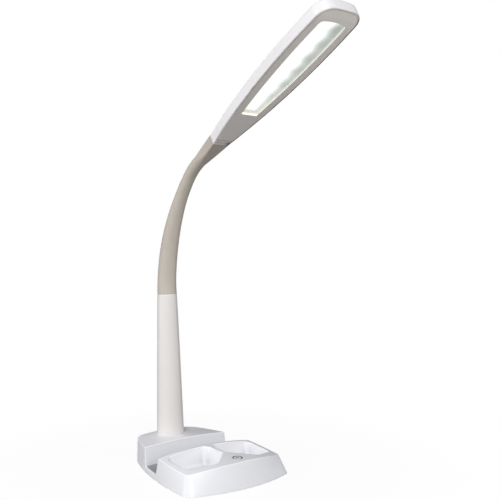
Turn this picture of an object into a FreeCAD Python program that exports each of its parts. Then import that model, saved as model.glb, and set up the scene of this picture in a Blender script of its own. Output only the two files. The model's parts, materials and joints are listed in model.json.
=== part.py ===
import FreeCAD, Part
import Sketcher
import math
import os

# Desk lamp with an organiser base: two open wells, a cross slot, a rear block that carries the post,
# a flexible neck and a long flat lamp head. Millimetres, +Z up, the front faces -Y.
# The origin is on the table, under the middle of the base.

doc = FreeCAD.newDocument("desk_lamp")
sheet = doc.addObject("Spreadsheet::Sheet", "Sizes")
NODES = []

# Driving sizes: name, value, what it is
SIZES = [
    ("overrun", 1.0, "how far a cut runs past the face it opens"),
    ("fit_gap", 0.1, "gap between a part and the hole it sits in"),
    ("slide_gap", 0.05, "gap between a ball and its cup"),
    ("plate_gap", 0.25, "gap between an inset panel and the wall round it"),
    ("base_front", 88.5, "bottom outline, middle of the bowed front"),
    ("base_rear", 88.8, "bottom outline, middle of the rear"),
    ("foot_front_x", 72.2, "bottom outline, front corner"),
    ("foot_front_y", 73.5, "bottom outline, front corner"),
    ("foot_side_x", 65.9, "bottom outline, middle of the side"),
    ("foot_side_y", 2.0, "bottom outline, middle of the side"),
    ("foot_rear_x", 41.0, "bottom outline, rear corner"),
    ("foot_rear_y", 84.0, "bottom outline, rear corner"),
    ("wall_height", 35.0, "height at which the walls' upper outline is drawn"),
    ("upper_front", 80.3, "upper outline, middle of the front"),
    ("upper_front_x", 59.3, "upper outline, front corner"),
    ("upper_front_y", 56.8, "upper outline, front corner"),
    ("upper_side_x", 61.7, "upper outline, middle of the side"),
    ("upper_side_y", 14.0, "upper outline, middle of the side"),
    ("upper_rear_x", 40.5, "upper outline, rear corner"),
    ("upper_rear_y", 83.0, "upper outline, rear corner"),
    ("upper_rear", 87.4, "upper outline, middle of the rear"),
    ("front_round_low", 15.0, "front corner radius at the foot"),
    ("front_round_high", 8.0, "front corner radius at the top"),
    ("rear_round", 20.0, "rear corner radius"),
    ("shell_lift", 0.8, "bottom edge of the housing above the table"),
    ("shell_wall", 2.4, "wall of the housing"),
    ("slot_floor", 6.9, "height of the slot floor"),
    ("slot_front", 1.2, "front wall of the slot at the table's level, ahead of the origin"),
    ("slot_rear", 30.9, "rear wall of the slot at the table's level, behind the origin"),
    ("slot_lean_angle", 8.5, "lean of the slot's two walls away from each other, degrees"),
    ("crown_half", 74.0, "half width over which the crowned tops are drawn"),
    ("tray_front_crest", 28.7, "height of the tray top at the front"),
    ("tray_rear_crest", 31.3, "height of the tray top at the slot"),
    ("tray_front_drop", 13.9, "fall of the tray top from its middle to its sides, at the front"),
    ("tray_rear_drop", 7.2, "the same at the slot"),
    ("block_front_crest", 31.0, "height of the rear block at the slot"),
    ("block_rear_crest", 30.6, "height of the rear block at the back"),
    ("block_drop", 3.7, "fall of the rear block top from its middle to its sides"),
    ("well_inner_x", 12.1, "well outline, centre of the inner corner rounds"),
    ("well_outer_x", 50.8, "well outline, centre of the outer corner rounds"),
    ("well_rear_y", 19.9, "well outline, centre of the rear corner rounds"),
    ("well_outer_y", 49.3, "well outline, centre of the outer front round"),
    ("well_front_x", 30.5, "well outline, centre of the front round"),
    ("well_front_y", 58.6, "well outline, centre of the front round"),
    ("well_waist_y", 40.6, "well outline, centre of the round beside the middle"),
    ("well_round", 10.0, "corner radius of a well at its rim"),
    ("well_rim", 31.0, "height at which the well outline is drawn"),
    ("well_floor", 11.0, "height of the well floor"),
    ("well_lean_angle", 17.0, "slope of the well walls, degrees"),
    ("well_floor_round", 5.0, "round between a well's wall and its floor"),
    ("plate_thick", 2.4, "bottom plate"),
    ("boss_radius", 3.6, "screw boss"),
    ("screw_radius", 1.45, "base screw shank"),
    ("screw_head_radius", 2.8, "base screw head"),
    ("screw_head_thick", 1.5, "base screw head"),
    ("screw_length", 11.0, "base screw from head to tip"),
    ("boss_front_x", 48.0, "front screws"),
    ("boss_front_y", 68.0, "front screws"),
    ("boss_rear_x", 38.0, "rear screws"),
    ("boss_rear_y", 47.0, "rear screws"),
    ("pad_radius", 6.0, "rubber foot"),
    ("pad_sink", 0.9, "depth of a rubber foot's seat"),
    ("pad_front_x", 56.0, "front feet"),
    ("pad_front_y", 50.0, "front feet"),
    ("pad_rear_x", 36.0, "rear feet"),
    ("pad_rear_y", 66.0, "rear feet"),
    ("weight_half", 56.0, "steel weight, half width"),
    ("weight_front", 58.0, "steel weight, front edge"),
    ("weight_rear", 8.0, "steel weight, rear edge"),
    ("weight_thick", 4.6, "steel weight"),
    ("slot_pad_thick", 0.8, "soft pad on the slot floor"),
    ("slot_pad_inset", 2.0, "slot pad edge inside the side walls"),
    ("touch_ahead", 67.4, "touch button, ahead of the origin"),
    ("touch_ring_radius", 6.0, "touch button's outer ring"),
    ("touch_cap_radius", 4.7, "touch button's cap"),
    ("touch_proud", 0.15, "how far the ring stands above the tray"),
    ("touch_board_half", 9.0, "touch board, half its side"),
    ("touch_board_gap", 0.4, "touch board below the ring"),
    ("touch_board_thick", 1.2, "touch board"),
    ("post_foot_y", 69.8, "post axis at the rear block's top, behind the origin"),
    ("post_seat_height", 31.0, "height of the post's foot on its axis"),
    ("post_seat_depth", 1.2, "how deep the post's foot sits in the block"),
    ("post_lean_angle", 2.5, "backward lean of the post, degrees"),
    ("post_length", 173.0, "post from the block to the neck"),
    ("post_foot_radius", 16.8, "post at its foot"),
    ("post_middle_radius", 14.7, "post at half its height"),
    ("post_top_radius", 12.3, "post at its top"),
    ("post_top_chamfer", 0.5, "bright edge round the post's top"),
    ("post_bore_radius", 9.7, "bore of the post"),
    ("post_stub_radius", 13.4, "stub of the post that passes through the block's top"),
    ("post_ledge", 1.8, "housing left between the post's foot and its bracket"),
    ("bracket_radius", 16.0, "bracket that holds the post from inside"),
    ("bracket_bore", 9.0, "wire hole of the bracket"),
    ("bracket_thick", 2.0, "bracket"),
    ("post_screw_circle", 11.55, "post screws' circle"),
    ("post_screw_radius", 1.2, "post screw shank"),
    ("post_screw_head_radius", 2.2, "post screw head"),
    ("post_screw_head_thick", 1.4, "post screw head"),
    ("post_screw_length", 9.0, "post screw"),
    ("standoff_radius", 2.6, "standoffs under the driver board"),
    ("standoff_height", 6.8, "standoffs under the driver board"),
    ("board_half", 17.0, "driver board, half width"),
    ("board_front", 50.0, "driver board, front edge"),
    ("board_rear", 84.0, "driver board, rear edge"),
    ("board_thick", 1.6, "driver board"),
    ("chip_side", 10.0, "driver chip"),
    ("chip_thick", 2.4, "driver chip"),
    ("jack_half", 4.6, "power inlet, half width"),
    ("jack_length", 13.0, "power inlet, length"),
    ("jack_height", 9.6, "power inlet, height"),
    ("jack_nose_radius", 3.9, "power inlet, nose"),
    ("jack_bore_radius", 2.9, "power inlet, bore"),
    ("jack_bore_depth", 9.0, "power inlet, bore"),
    ("jack_pin_radius", 1.0, "power inlet, centre pin"),
    ("jack_recess", 0.6, "nose end inside the rear face"),
    ("neck_foot_radius", 12.15, "neck at the post"),
    ("neck_collar", 14.0, "post top to the first neck joint"),
    ("neck_first_angle", 88.6, "direction of the neck at its first joint, degrees above level"),
    ("neck_bend_radius", 206.0, "bend of the neck's middle line"),
    ("neck_spacing", 28.0, "neck joints along the middle line"),
    ("neck_swing_angle", 20.0, "largest swing of one neck joint, degrees"),
    ("neck_end_radius", 82.0, "bend of the neck's last stretch"),
    ("neck_flare", 44.2, "straight stretch where the neck widens into the head"),
    ("sleeve_wall", 1.6, "soft sleeve over the neck"),
    ("ball_inset", 0.4, "a joint's ball inside its link's surface"),
    ("stem_length", 22.0, "neck's stem inside the post"),
    ("neck_mouth_round", 1.2, "edge radius of the neck where it meets the head"),
    ("tang_half", 5.6, "flat tang in the head, half width"),
    ("tang_thick", 4.0, "flat tang in the head"),
    ("tang_reach", 24.0, "tang inside the head"),
    ("head_rise_angle", 28.1, "direction of the head, degrees above level"),
    ("head_thick", 13.3, "head, underside to top"),
    ("head_near_half", 11.1, "head at the neck, half width"),
    ("head_wide_half", 26.2, "head at its middle, half width"),
    ("head_wide_at", 104.5, "where the middle width is measured, from the neck"),
    ("head_tip_half", 26.5, "head at its tip corners, half width"),
    ("head_length", 224.7, "neck to the tip"),
    ("head_tip_bow", 2.6, "middle of the tip ahead of its corners"),
    ("head_tip_round", 17.0, "tip corner radius"),
    ("head_edge_round", 2.6, "round along the top edge of the cover"),
    ("head_rim_round", 1.5, "round along the bottom edge of the cover"),
    ("cover_wall", 1.9, "wall of the head cover"),
    ("cover_near_wall", 5.6, "end of the head cover at the neck"),
    ("panel_thick", 1.9, "underside panel"),
    ("lens_near_half", 10.5, "lens at its near end, half width"),
    ("lens_near_at", 57.7, "near end of the lens"),
    ("lens_wide_half", 15.9, "lens at its middle, half width"),
    ("lens_wide_at", 115.5, "where the lens' middle width is measured"),
    ("lens_tip_half", 17.0, "lens at its far corners, half width"),
    ("lens_rim", 17.5, "far end of the lens to the head's tip"),
    ("lens_bow", 2.5, "middle of the lens' far end ahead of its corners"),
    ("lens_round", 4.5, "far corner radius of the lens"),
    ("lens_sink", 2.6, "lens face inside the underside"),
    ("lens_wall_rise", 1.1, "panel's wall round the lens, above the panel"),
    ("lens_lip", 1.6, "lens lip behind the panel, and the thickness of the panel's wall"),
    ("lens_lip_thick", 1.2, "lens lip behind the panel"),
    ("reflector_wall", 1.2, "reflector frame"),
    ("led_board_thick", 1.2, "light board"),
    ("led_board_lift", 8.4, "light board above the underside"),
    ("led_half_x", 1.4, "one light chip"),
    ("led_half_y", 1.75, "one light chip"),
    ("led_thick", 0.8, "one light chip"),
    ("led_first_at", 71.5, "first row of light chips"),
    ("led_end_gap", 23.5, "last row of light chips to the far end of the lens"),
    ("led_side_x", 6.5, "columns of light chips from the middle"),
    ("head_screw_radius", 1.2, "screws in the head"),
    ("head_screw_head_radius", 2.2, "screw heads in the head"),
    ("head_screw_head_thick", 1.2, "screw heads in the head"),
    ("head_boss_radius", 2.8, "bosses under the cover's top"),
    ("tang_screw_at", 8.0, "first tang screw from the neck"),
    ("tang_screw_pitch", 9.0, "tang screws"),
    ("board_screw_at", 64.0, "near light board screw"),
    ("board_screw_gap", 9.0, "far light board screw to the far end of the lens"),
]

LINK_COUNT = 5
LED_ROWS = 8
QUARTER_TURN_ANGLE = 90

# radius of the neck at its joints, as shares of its radius at the post
NECK_RADIUS_SHARES = [0.972, 0.936, 0.872, 0.772, 0.666, 0.617]
# angles of the post screws as shares of a full turn
POST_SCREW_SHARES = [0.25, 0.583, 0.917]
# corner radius of the round sections in the neck's end, as a share of their half width
END_ROUND_SHARE = 0.97
# sections along the bend of the neck's end
END_BEND_SHARES = [0, 0.25, 0.5, 0.75, 1]


class Term:
    """A size: its value, and the sheet expression that gives it."""

    def __init__(self, value, text):
        self.value = float(value)
        self.text = text

    def __add__(self, other):
        other = term(other)
        return Term(self.value + other.value, "(%s + %s)" % (self.text, other.text))

    def __sub__(self, other):
        other = term(other)
        return Term(self.value - other.value, "(%s - %s)" % (self.text, other.text))

    def __mul__(self, other):
        other = term(other)
        return Term(self.value * other.value, "(%s * %s)" % (self.text, other.text))

    def __truediv__(self, other):
        other = term(other)
        return Term(self.value / other.value, "(%s / %s)" % (self.text, other.text))

    def __neg__(self):
        return Term(-self.value, "(-1 * %s)" % self.text)


def term(item):
    """A number or a size, as a size."""
    if isinstance(item, Term):
        return item
    return Term(item, repr(float(item)))


def root(item):
    return Term(math.sqrt(item.value), "sqrt(%s)" % item.text)


def sine(angle):
    return Term(math.sin(math.radians(angle.value)), "sin(%s)" % angle.text)


def cosine(angle):
    return Term(math.cos(math.radians(angle.value)), "cos(%s)" % angle.text)


def tangent(angle):
    return Term(math.tan(math.radians(angle.value)), "tan(%s)" % angle.text)


def slope_angle(ratio):
    """The angle, in degrees, whose tangent is ratio."""
    return Term(math.degrees(math.atan(ratio.value)), "(atan(%s) / 1deg)" % ratio.text)


def arc_angle(length, radius):
    """The angle, in degrees, that an arc of this length turns."""
    return Term(math.degrees(length.value / radius.value),
                "(%s / %s * 180 / pi)" % (length.text, radius.text))


for row, (name, value, note) in enumerate(SIZES, start=1):
    sheet.set("A%d" % row, name)
    sheet.set("B%d" % row, repr(value))
    sheet.set("C%d" % row, note)
    sheet.setAlias("B%d" % row, name)
doc.recompute()


def size(name):
    return Term(sheet.get(name), "Sizes.%s" % name)


def bind(item, prop, value):
    """Ties one property of an object to a size."""
    item.setExpression(prop, term(value).text)


def place(item, x=0, y=0, z=0, turn=None):
    """Sets where an object stands, and its turn about the X axis in degrees."""
    spin = term(turn if turn is not None else 0)
    item.Placement = FreeCAD.Placement(
        FreeCAD.Vector(term(x).value, term(y).value, term(z).value),
        FreeCAD.Rotation(FreeCAD.Vector(1, 0, 0), spin.value))
    for axis, value in (("x", x), ("y", y), ("z", z)):
        if isinstance(value, Term):
            bind(item, "Placement.Base.%s" % axis, value)
    if turn is not None:
        bind(item, "Placement.Rotation.Angle", spin)
    return item


def vec(point):
    return FreeCAD.Vector(term(point[0]).value, term(point[1]).value, 0)


def pin_point(sketch, geo, pos, point):
    """Holds one point of a sketch at its two sizes."""
    for axis, value in (("X", point[0]), ("Y", point[1])):
        value = term(value)
        if value.value == 0:
            line = -2 if axis == "X" else -1
            sketch.addConstraint(Sketcher.Constraint("PointOnObject", geo, pos, line))
        else:
            index = sketch.addConstraint(
                Sketcher.Constraint("Distance" + axis, -1, 1, geo, pos, value.value))
            sketch.setExpression("Constraints[%d]" % index, value.text)


def draw(sketch, path):
    """Draws a closed outline. Each corner is a pair of sizes; a third entry is the point that
    the arc from this corner to the next passes through."""
    count = len(path)
    starts = []
    ends = []
    for index, corner in enumerate(path):
        following = path[(index + 1) % count]
        first = vec(corner)
        last = vec(following)
        if len(corner) == 3:
            middle = vec(corner[2])
            left_turn = (middle - first).cross(last - middle).z > 0
            if left_turn:
                geo = sketch.addGeometry(Part.Arc(first, middle, last))
            else:
                geo = sketch.addGeometry(Part.Arc(last, middle, first))
            starts.append((geo, 1 if left_turn else 2))
            ends.append((geo, 2 if left_turn else 1))
        else:
            geo = sketch.addGeometry(Part.LineSegment(first, last))
            starts.append((geo, 1))
            ends.append((geo, 2))
    for index, corner in enumerate(path):
        geo, pos = starts[index]
        before = ends[index - 1]
        sketch.addConstraint(Sketcher.Constraint("Coincident", before[0], before[1], geo, pos))
        pin_point(sketch, geo, pos, corner)
        if len(corner) == 3:
            mark = sketch.addGeometry(Part.Point(vec(corner[2])), True)
            pin_point(sketch, mark, 1, corner[2])
            sketch.addConstraint(Sketcher.Constraint("PointOnObject", mark, 1, geo))


def plane_of(body, role):
    return next(item for item in body.Origin.OriginFeatures if item.Role == role)


def outline(name, path, height=0):
    """A closed outline that lies level at a height."""
    sketch = doc.addObject("Sketcher::SketchObject", name)
    draw(sketch, path)
    place(sketch, z=height)
    return sketch


def body_sketch(body, name, role, path, offset=None, lean=None):
    """A sketch on one of a body's planes, moved off it by offset and leaning by degrees."""
    sketch = body.newObject("Sketcher::SketchObject", name)
    sketch.AttachmentSupport = (plane_of(body, role), "")
    sketch.MapMode = "FlatFace"
    if lean is not None:
        sketch.AttachmentOffset = FreeCAD.Placement(
            FreeCAD.Vector(), FreeCAD.Rotation(FreeCAD.Vector(1, 0, 0), lean.value))
        bind(sketch, "AttachmentOffset.Rotation.Angle", lean)
    if offset is not None:
        bind(sketch, "AttachmentOffset.Base.z", offset)
    draw(sketch, path)
    return sketch


def new_body(name):
    return doc.addObject("PartDesign::Body", name)


def turned(name, path):
    """A body turned about its Z axis from a half section of (radius, height) corners."""
    body = new_body(name)
    sketch = body_sketch(body, name + "_section", "XZ_Plane", path)
    spin = body.newObject("PartDesign::Revolution", name + "_turn")
    spin.Profile = sketch
    spin.ReferenceAxis = (sketch, ["V_Axis"])
    spin.Angle = 360
    body.Tip = spin
    return body


def slab(name, path, low, high):
    """A level plate with this outline between two heights."""
    sketch = outline(name + "_outline", path, low)
    plate = doc.addObject("Part::Extrusion", name)
    plate.Base = sketch
    plate.DirMode = "Custom"
    plate.Dir = FreeCAD.Vector(0, 0, 1)
    plate.Solid = True
    plate.LengthFwd = (high - low).value
    bind(plate, "LengthFwd", high - low)
    return plate


def box(name, x_low, x_high, y_low, y_high, z_low, z_high):
    item = doc.addObject("Part::Box", name)
    for prop, value in (("Length", x_high - x_low), ("Width", y_high - y_low), ("Height", z_high - z_low)):
        bind(item, prop, value)
    return place(item, x_low, y_low, z_low)


def rod(name, radius, height, x=0, y=0, z=0, turn=None):
    item = doc.addObject("Part::Cylinder", name)
    bind(item, "Radius", radius)
    bind(item, "Height", height)
    return place(item, x, y, z, turn)


def join(name, items):
    item = doc.addObject("Part::MultiFuse", name)
    item.Shapes = items
    item.Refine = True
    return item


def meet(name, first, second):
    item = doc.addObject("Part::MultiCommon", name)
    item.Shapes = [first, second]
    return item


def cut(name, base, tool):
    item = doc.addObject("Part::Cut", name)
    item.Base = base
    item.Tool = tool
    return item


def group(name, items):
    item = doc.addObject("Part::Compound", name)
    item.Links = items
    return item


def round_edges(name, base, edges):
    item = doc.addObject("Part::Fillet", name)
    item.Base = base
    item.Edges = edges
    return item


def node(item, label):
    """Marks an object as one of the lamp's own pieces."""
    item.Label = label
    NODES.append(item)
    return item


def mirrored(x, y):
    return [(-x, y), (x, y)]


# Base housing

overrun = size("overrun")
fit = size("fit_gap")
wall = size("shell_wall")
lift = size("shell_lift")
plate_top = lift + size("plate_thick")


def foot_path(inset):
    """Bottom outline of the walls, drawn in by inset: front, side, rear and side as arcs."""
    front = (0, inset - size("base_front"))
    side_x = size("foot_side_x") - inset
    corner_x = size("foot_front_x") - inset
    corner_y = inset - size("foot_front_y")
    rear_x = size("foot_rear_x") - inset
    rear_y = size("foot_rear_y") - inset
    return [
        (-corner_x, corner_y, front),
        (corner_x, corner_y, (side_x, size("foot_side_y"))),
        (rear_x, rear_y, (0, size("base_rear") - inset)),
        (-rear_x, rear_y, (-side_x, size("foot_side_y"))),
    ]


def upper_path(inset):
    """Upper outline of the walls, with the same arcs."""
    front = (0, inset - size("upper_front"))
    side_x = size("upper_side_x") - inset
    corner_x = size("upper_front_x") - inset
    corner_y = inset - size("upper_front_y")
    rear_x = size("upper_rear_x") - inset
    rear_y = size("upper_rear_y") - inset
    return [
        (-corner_x, corner_y, front),
        (corner_x, corner_y, (side_x, size("upper_side_y"))),
        (rear_x, rear_y, (0, size("upper_rear") - inset)),
        (-rear_x, rear_y, (-side_x, size("upper_side_y"))),
    ]


def walls(name, inset):
    """The space inside the sloping walls drawn in by inset, with rounded corners."""
    low = outline(name + "_foot", foot_path(inset))
    high = outline(name + "_upper", upper_path(inset), size("wall_height"))
    loft = doc.addObject("Part::Loft", name + "_loft")
    loft.Sections = [low, high]
    loft.Solid = True
    loft.Ruled = True
    doc.recompute()
    rounds = []
    for index, edge in enumerate(loft.Shape.Edges, start=1):
        start = edge.Vertexes[0].Point
        end = edge.Vertexes[-1].Point
        if abs(start.z - end.z) < size("wall_height").value / 2:
            continue
        if start.y < 0:
            foot = (size("front_round_low") - inset).value
            top = (size("front_round_high") - inset).value
            if start.z > end.z:
                foot, top = top, foot
            rounds.append((index, foot, top))
        else:
            rear = (size("rear_round") - inset).value
            rounds.append((index, rear, rear))
    return round_edges(name, loft, rounds)


def crowned(name, low, front, rear):
    """A block from front to rear whose top is an arc across, between the two end sections. An end is
    its place, the height of its crest, the fall to its sides and its lean forwards in degrees."""
    half = size("crown_half")
    body = new_body(name)
    sections = []
    for tag, (behind, crest, drop, lean) in (("front", front), ("rear", rear)):
        stretch = cosine(lean)
        foot = low / stretch
        shoulder = (crest - drop) / stretch
        path = [(-half, foot), (half, foot), (half, shoulder, (0, crest / stretch)), (-half, shoulder)]
        sections.append(body_sketch(body, "%s_%s" % (name, tag), "XZ_Plane", path, -behind, lean))
    loft = body.newObject("PartDesign::AdditiveLoft", name + "_loft")
    loft.Profile = sections[0]
    loft.Sections = [sections[1]]
    loft.Ruled = True
    body.Tip = loft
    return body


def housing_levels(name, inset, low):
    """Tray, rear block and slot floor, all drawn in by inset."""
    lean = size("slot_lean_angle")
    tray = crowned(
        name + "_tray", low,
        (-size("base_front"), size("tray_front_crest") - inset, size("tray_front_drop"), term(0)),
        (-size("slot_front") - inset, size("tray_rear_crest") - inset, size("tray_rear_drop"), lean))
    block = crowned(
        name + "_block", low,
        (size("slot_rear") + inset, size("block_front_crest") - inset, size("block_drop"), -lean),
        (size("base_rear"), size("block_rear_crest") - inset, size("block_drop"), term(0)))
    half = size("crown_half")
    floor = box(name + "_floor", -half, half, -size("base_front"), size("base_rear"),
                low, size("slot_floor") - inset)
    return join(name, [tray, block, floor])


def slot_run(height):
    """How far a slot wall has leaned away at a height."""
    return height * tangent(size("slot_lean_angle"))


def well_form(name, side, grow):
    """The space of one well, grown by grow on every side. side is 1 or -1 along X."""
    points = [
        (size("well_inner_x"), -size("well_rear_y")),
        (size("well_outer_x"), -size("well_rear_y")),
        (size("well_outer_x"), -size("well_outer_y")),
        (size("well_front_x"), -size("well_front_y")),
        (size("well_inner_x"), -size("well_waist_y")),
    ]
    sketch = outline(name + "_core", [(x * side, y) for x, y in points], size("well_rim"))
    rim = doc.addObject("Part::Offset2D", name + "_rim")
    rim.Source = sketch
    rim.Value = (size("well_round") + grow).value
    bind(rim, "Value", size("well_round") + grow)
    doc.recompute()
    form = doc.addObject("Part::Extrusion", name + "_form")
    form.Base = rim
    form.DirMode = "Custom"
    form.Dir = FreeCAD.Vector(0, 0, -1)
    form.Solid = True
    depth = size("well_rim") - size("well_floor") + grow
    above = size("wall_height") - size("well_rim")
    form.LengthFwd = depth.value
    form.LengthRev = above.value
    form.TaperAngle = -size("well_lean_angle").value
    form.TaperAngleRev = size("well_lean_angle").value
    bind(form, "LengthFwd", depth)
    bind(form, "LengthRev", above)
    bind(form, "TaperAngle", -size("well_lean_angle"))
    bind(form, "TaperAngleRev", size("well_lean_angle"))
    doc.recompute()
    floor = (size("well_floor") - grow).value
    radius = (size("well_floor_round") + grow).value
    tiny = size("fit_gap").value
    edges = [(index, radius, radius) for index, edge in enumerate(form.Shape.Edges, start=1)
             if edge.BoundBox.ZMax < floor + tiny]
    return round_edges(name, form, edges)


outer = meet("housing_outer", walls("outer_walls", term(0)), housing_levels("outer_levels", term(0), lift))
inner = meet("housing_inner", walls("inner_walls", wall), housing_levels("inner_levels", wall, -overrun))

post_y = size("post_foot_y")
post_z = size("post_seat_height")
post_turn = -size("post_lean_angle")


def on_post(distance):
    """Y and Z of a point on the post's axis, this far above its foot."""
    lean = size("post_lean_angle")
    return post_y + distance * sine(lean), post_z + distance * cosine(lean)


def along_post(name, radius, low, high):
    """A rod on the post's axis between two distances from its foot."""
    y, z = on_post(low)
    return rod(name, radius, high - low, 0, y, z, post_turn)


seat_low = -size("post_seat_depth")
ledge_low = seat_low - size("post_ledge")
bracket_low = ledge_low - size("bracket_thick")

boss_places = (mirrored(size("boss_front_x"), -size("boss_front_y"))
               + mirrored(size("boss_rear_x"), size("boss_rear_y")))
pad_places = (mirrored(size("pad_front_x"), -size("pad_front_y"))
              + mirrored(size("pad_rear_x"), size("pad_rear_y")) + [(0, 0)])

solid_parts = [well_form("well_left_outer", -1, wall), well_form("well_right_outer", 1, wall)]
solid_parts.append(along_post("post_boss", size("bracket_radius") + fit, ledge_low, seat_low + fit))
for number, (x, y) in enumerate(boss_places, start=1):
    solid_parts.append(rod("boss_%d" % number, size("boss_radius"), size("wall_height"), x, y, plate_top))
hollow = cut("housing_hollow", inner, join("housing_solids", solid_parts))

openings = [well_form("well_left", -1, term(0)), well_form("well_right", 1, term(0))]
openings.append(along_post("post_seat", size("post_foot_radius") + fit, seat_low, size("wall_height")))
openings.append(along_post("post_hole", size("post_stub_radius") + fit, ledge_low - overrun,
                           size("overrun")))
openings.append(along_post("bracket_space", size("bracket_radius") + fit,
                           bracket_low - size("post_screw_head_thick") - overrun, ledge_low))
screw_hole = size("screw_radius") + fit
for number, (x, y) in enumerate(boss_places, start=1):
    openings.append(rod("boss_hole_%d" % number, screw_hole, size("screw_length") + overrun, x, y, lift))

tray_depth = size("base_front") - size("slot_front") - slot_run(size("tray_rear_crest"))
tray_rise = (size("tray_rear_crest") - size("tray_front_crest")) / tray_depth
touch_y = -size("touch_ahead")
touch_z = size("tray_front_crest") + tray_rise * (size("base_front") - size("touch_ahead"))
touch_turn = slope_angle(tray_rise)


def under_touch(depth):
    """A point on the touch button's axis, this far below the tray's surface."""
    return (0, touch_y + depth * sine(touch_turn), touch_z - depth * cosine(touch_turn))


def along_touch(name, radius, depth, height):
    """A rod on the touch button's axis that starts at a depth and rises by height."""
    x, y, z = under_touch(depth)
    return rod(name, radius, height, x, y, z, touch_turn)


ring_depth = wall + fit
openings.append(along_touch("touch_hole", size("touch_ring_radius") + fit, wall + overrun,
                            wall + overrun * 2))

jack_z = plate_top + size("standoff_height") + size("board_thick") + size("jack_height") / 2
jack_out = size("base_rear") - (size("base_rear") - size("upper_rear")) * (jack_z / size("wall_height"))
jack_end = jack_out - size("jack_recess")
openings.append(rod("jack_hole", size("jack_nose_radius") + fit, wall * 3,
                    0, jack_out + overrun, jack_z, term(QUARTER_TURN_ANGLE)))

housing_walls = cut("housing_walls", outer, hollow)
node(cut("housing", housing_walls, join("housing_openings", openings)), "base_shell")

# Bottom plate, its screws and its rubber feet

panel_gap = size("plate_gap")
plate_box = box("plate_box", -size("crown_half"), size("crown_half"),
                -size("base_front"), size("base_rear"), lift, plate_top)
plate_blank = meet("plate_blank", walls("plate_walls", wall + panel_gap), plate_box)
plate_cuts = []
screws = []
feet = []
head_room = size("screw_head_thick") + fit
for number, (x, y) in enumerate(boss_places, start=1):
    plate_cuts.append(rod("plate_bore_%d" % number, screw_hole, size("plate_thick") + overrun * 2,
                          x, y, lift - overrun))
    plate_cuts.append(rod("plate_sink_%d" % number, size("screw_head_radius") + fit, head_room + overrun,
                          x, y, lift - overrun))
    shank = rod("screw_shank_%d" % number, size("screw_radius"), size("screw_length"), x, y, lift + fit)
    head = rod("screw_head_%d" % number, size("screw_head_radius"), size("screw_head_thick"),
               x, y, lift + fit)
    screws.append(join("screw_%d" % number, [shank, head]))
for number, (x, y) in enumerate(pad_places, start=1):
    plate_cuts.append(rod("foot_seat_%d" % number, size("pad_radius") + fit, size("pad_sink") + overrun,
                          x, y, lift - overrun))
    feet.append(rod("foot_%d" % number, size("pad_radius"), lift + size("pad_sink"), x, y))
standoffs = []
for number, y in enumerate((size("board_front") + size("standoff_radius"),
                            size("board_rear") - size("standoff_radius")), start=1):
    for side in (-1, 1):
        x = (size("board_half") - size("standoff_radius")) * side
        standoffs.append(rod("standoff_%d_%s" % (number, "left" if side < 0 else "right"),
                             size("standoff_radius"), size("standoff_height"), x, y, plate_top))
plate_drilled = cut("plate_drilled", plate_blank, join("plate_cuts", plate_cuts))
node(join("bottom_plate_whole", [plate_drilled] + standoffs), "bottom_plate")
node(group("base_screws_set", screws), "base_screws")
node(group("rubber_feet_set", feet), "rubber_feet")

# Steel weight in the tray and the soft pad in the slot

node(box("weight", -size("weight_half"), size("weight_half"), -size("weight_front"), -size("weight_rear"),
         plate_top, plate_top + size("weight_thick")), "ballast_plate")
pad_run = slot_run(size("slot_floor")) - fit
pad_box = box("slot_pad_box", -size("crown_half"), size("crown_half"), -size("slot_front") - pad_run,
              size("slot_rear") + pad_run, size("slot_floor"), size("slot_floor") + size("slot_pad_thick"))
node(meet("slot_pad_form", walls("slot_pad_walls", size("slot_pad_inset")), pad_box), "slot_pad")

# Touch button: outer ring, cap and the board under it

ring_height = ring_depth + size("touch_proud")
ring_blank = along_touch("touch_ring_blank", size("touch_ring_radius"), ring_depth, ring_height)
ring_bore = along_touch("touch_ring_bore", size("touch_cap_radius") + size("slide_gap"),
                        ring_depth + overrun,
                        ring_height + overrun * 2)
node(cut("touch_ring_form", ring_blank, ring_bore), "touch_ring")
node(along_touch("touch_cap_form", size("touch_cap_radius"), ring_depth, ring_depth), "touch_cap")
half = size("touch_board_half")
touch_board = box("touch_board_form", -half, half, touch_y - half, touch_y + half,
                  term(0), size("touch_board_thick"))
board_under = under_touch(ring_depth + size("touch_board_thick") + size("touch_board_gap"))
place(touch_board, -half, board_under[1] - half, board_under[2] - half * sine(touch_turn), touch_turn)
node(touch_board, "touch_board")

# Driver board and power inlet in the rear block

board_z = plate_top + size("standoff_height")
board_top = board_z + size("board_thick")
pcb = box("driver_pcb", -size("board_half"), size("board_half"), size("board_front"), size("board_rear"),
          board_z, board_top)
chip_front = size("board_front") + size("chip_side") / 2
chip = box("driver_chip", -size("chip_side") / 2, size("chip_side") / 2, chip_front,
           chip_front + size("chip_side"), board_top, board_top + size("chip_thick"))
node(join("driver_board_form", [pcb, chip]), "driver_board")
jack_back = size("base_rear") - wall * 2
jack_case = box("jack_case", -size("jack_half"), size("jack_half"),
                jack_back - size("jack_length"), jack_back, board_top, board_top + size("jack_height"))
jack_nose = rod("jack_nose", size("jack_nose_radius"), jack_end - jack_back + overrun,
                0, jack_end, jack_z, term(QUARTER_TURN_ANGLE))
jack_bore = rod("jack_bore", size("jack_bore_radius"), size("jack_bore_depth") + overrun,
                0, jack_end + overrun, jack_z, term(QUARTER_TURN_ANGLE))
jack_pin = rod("jack_pin", size("jack_pin_radius"), size("jack_bore_depth"),
               0, jack_end - fit, jack_z, term(QUARTER_TURN_ANGLE))
jack_shell = cut("jack_shell", join("jack_whole", [jack_case, jack_nose]), jack_bore)
node(join("jack", [jack_shell, jack_pin]), "power_jack")

# Post, its bracket and its screws

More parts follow.
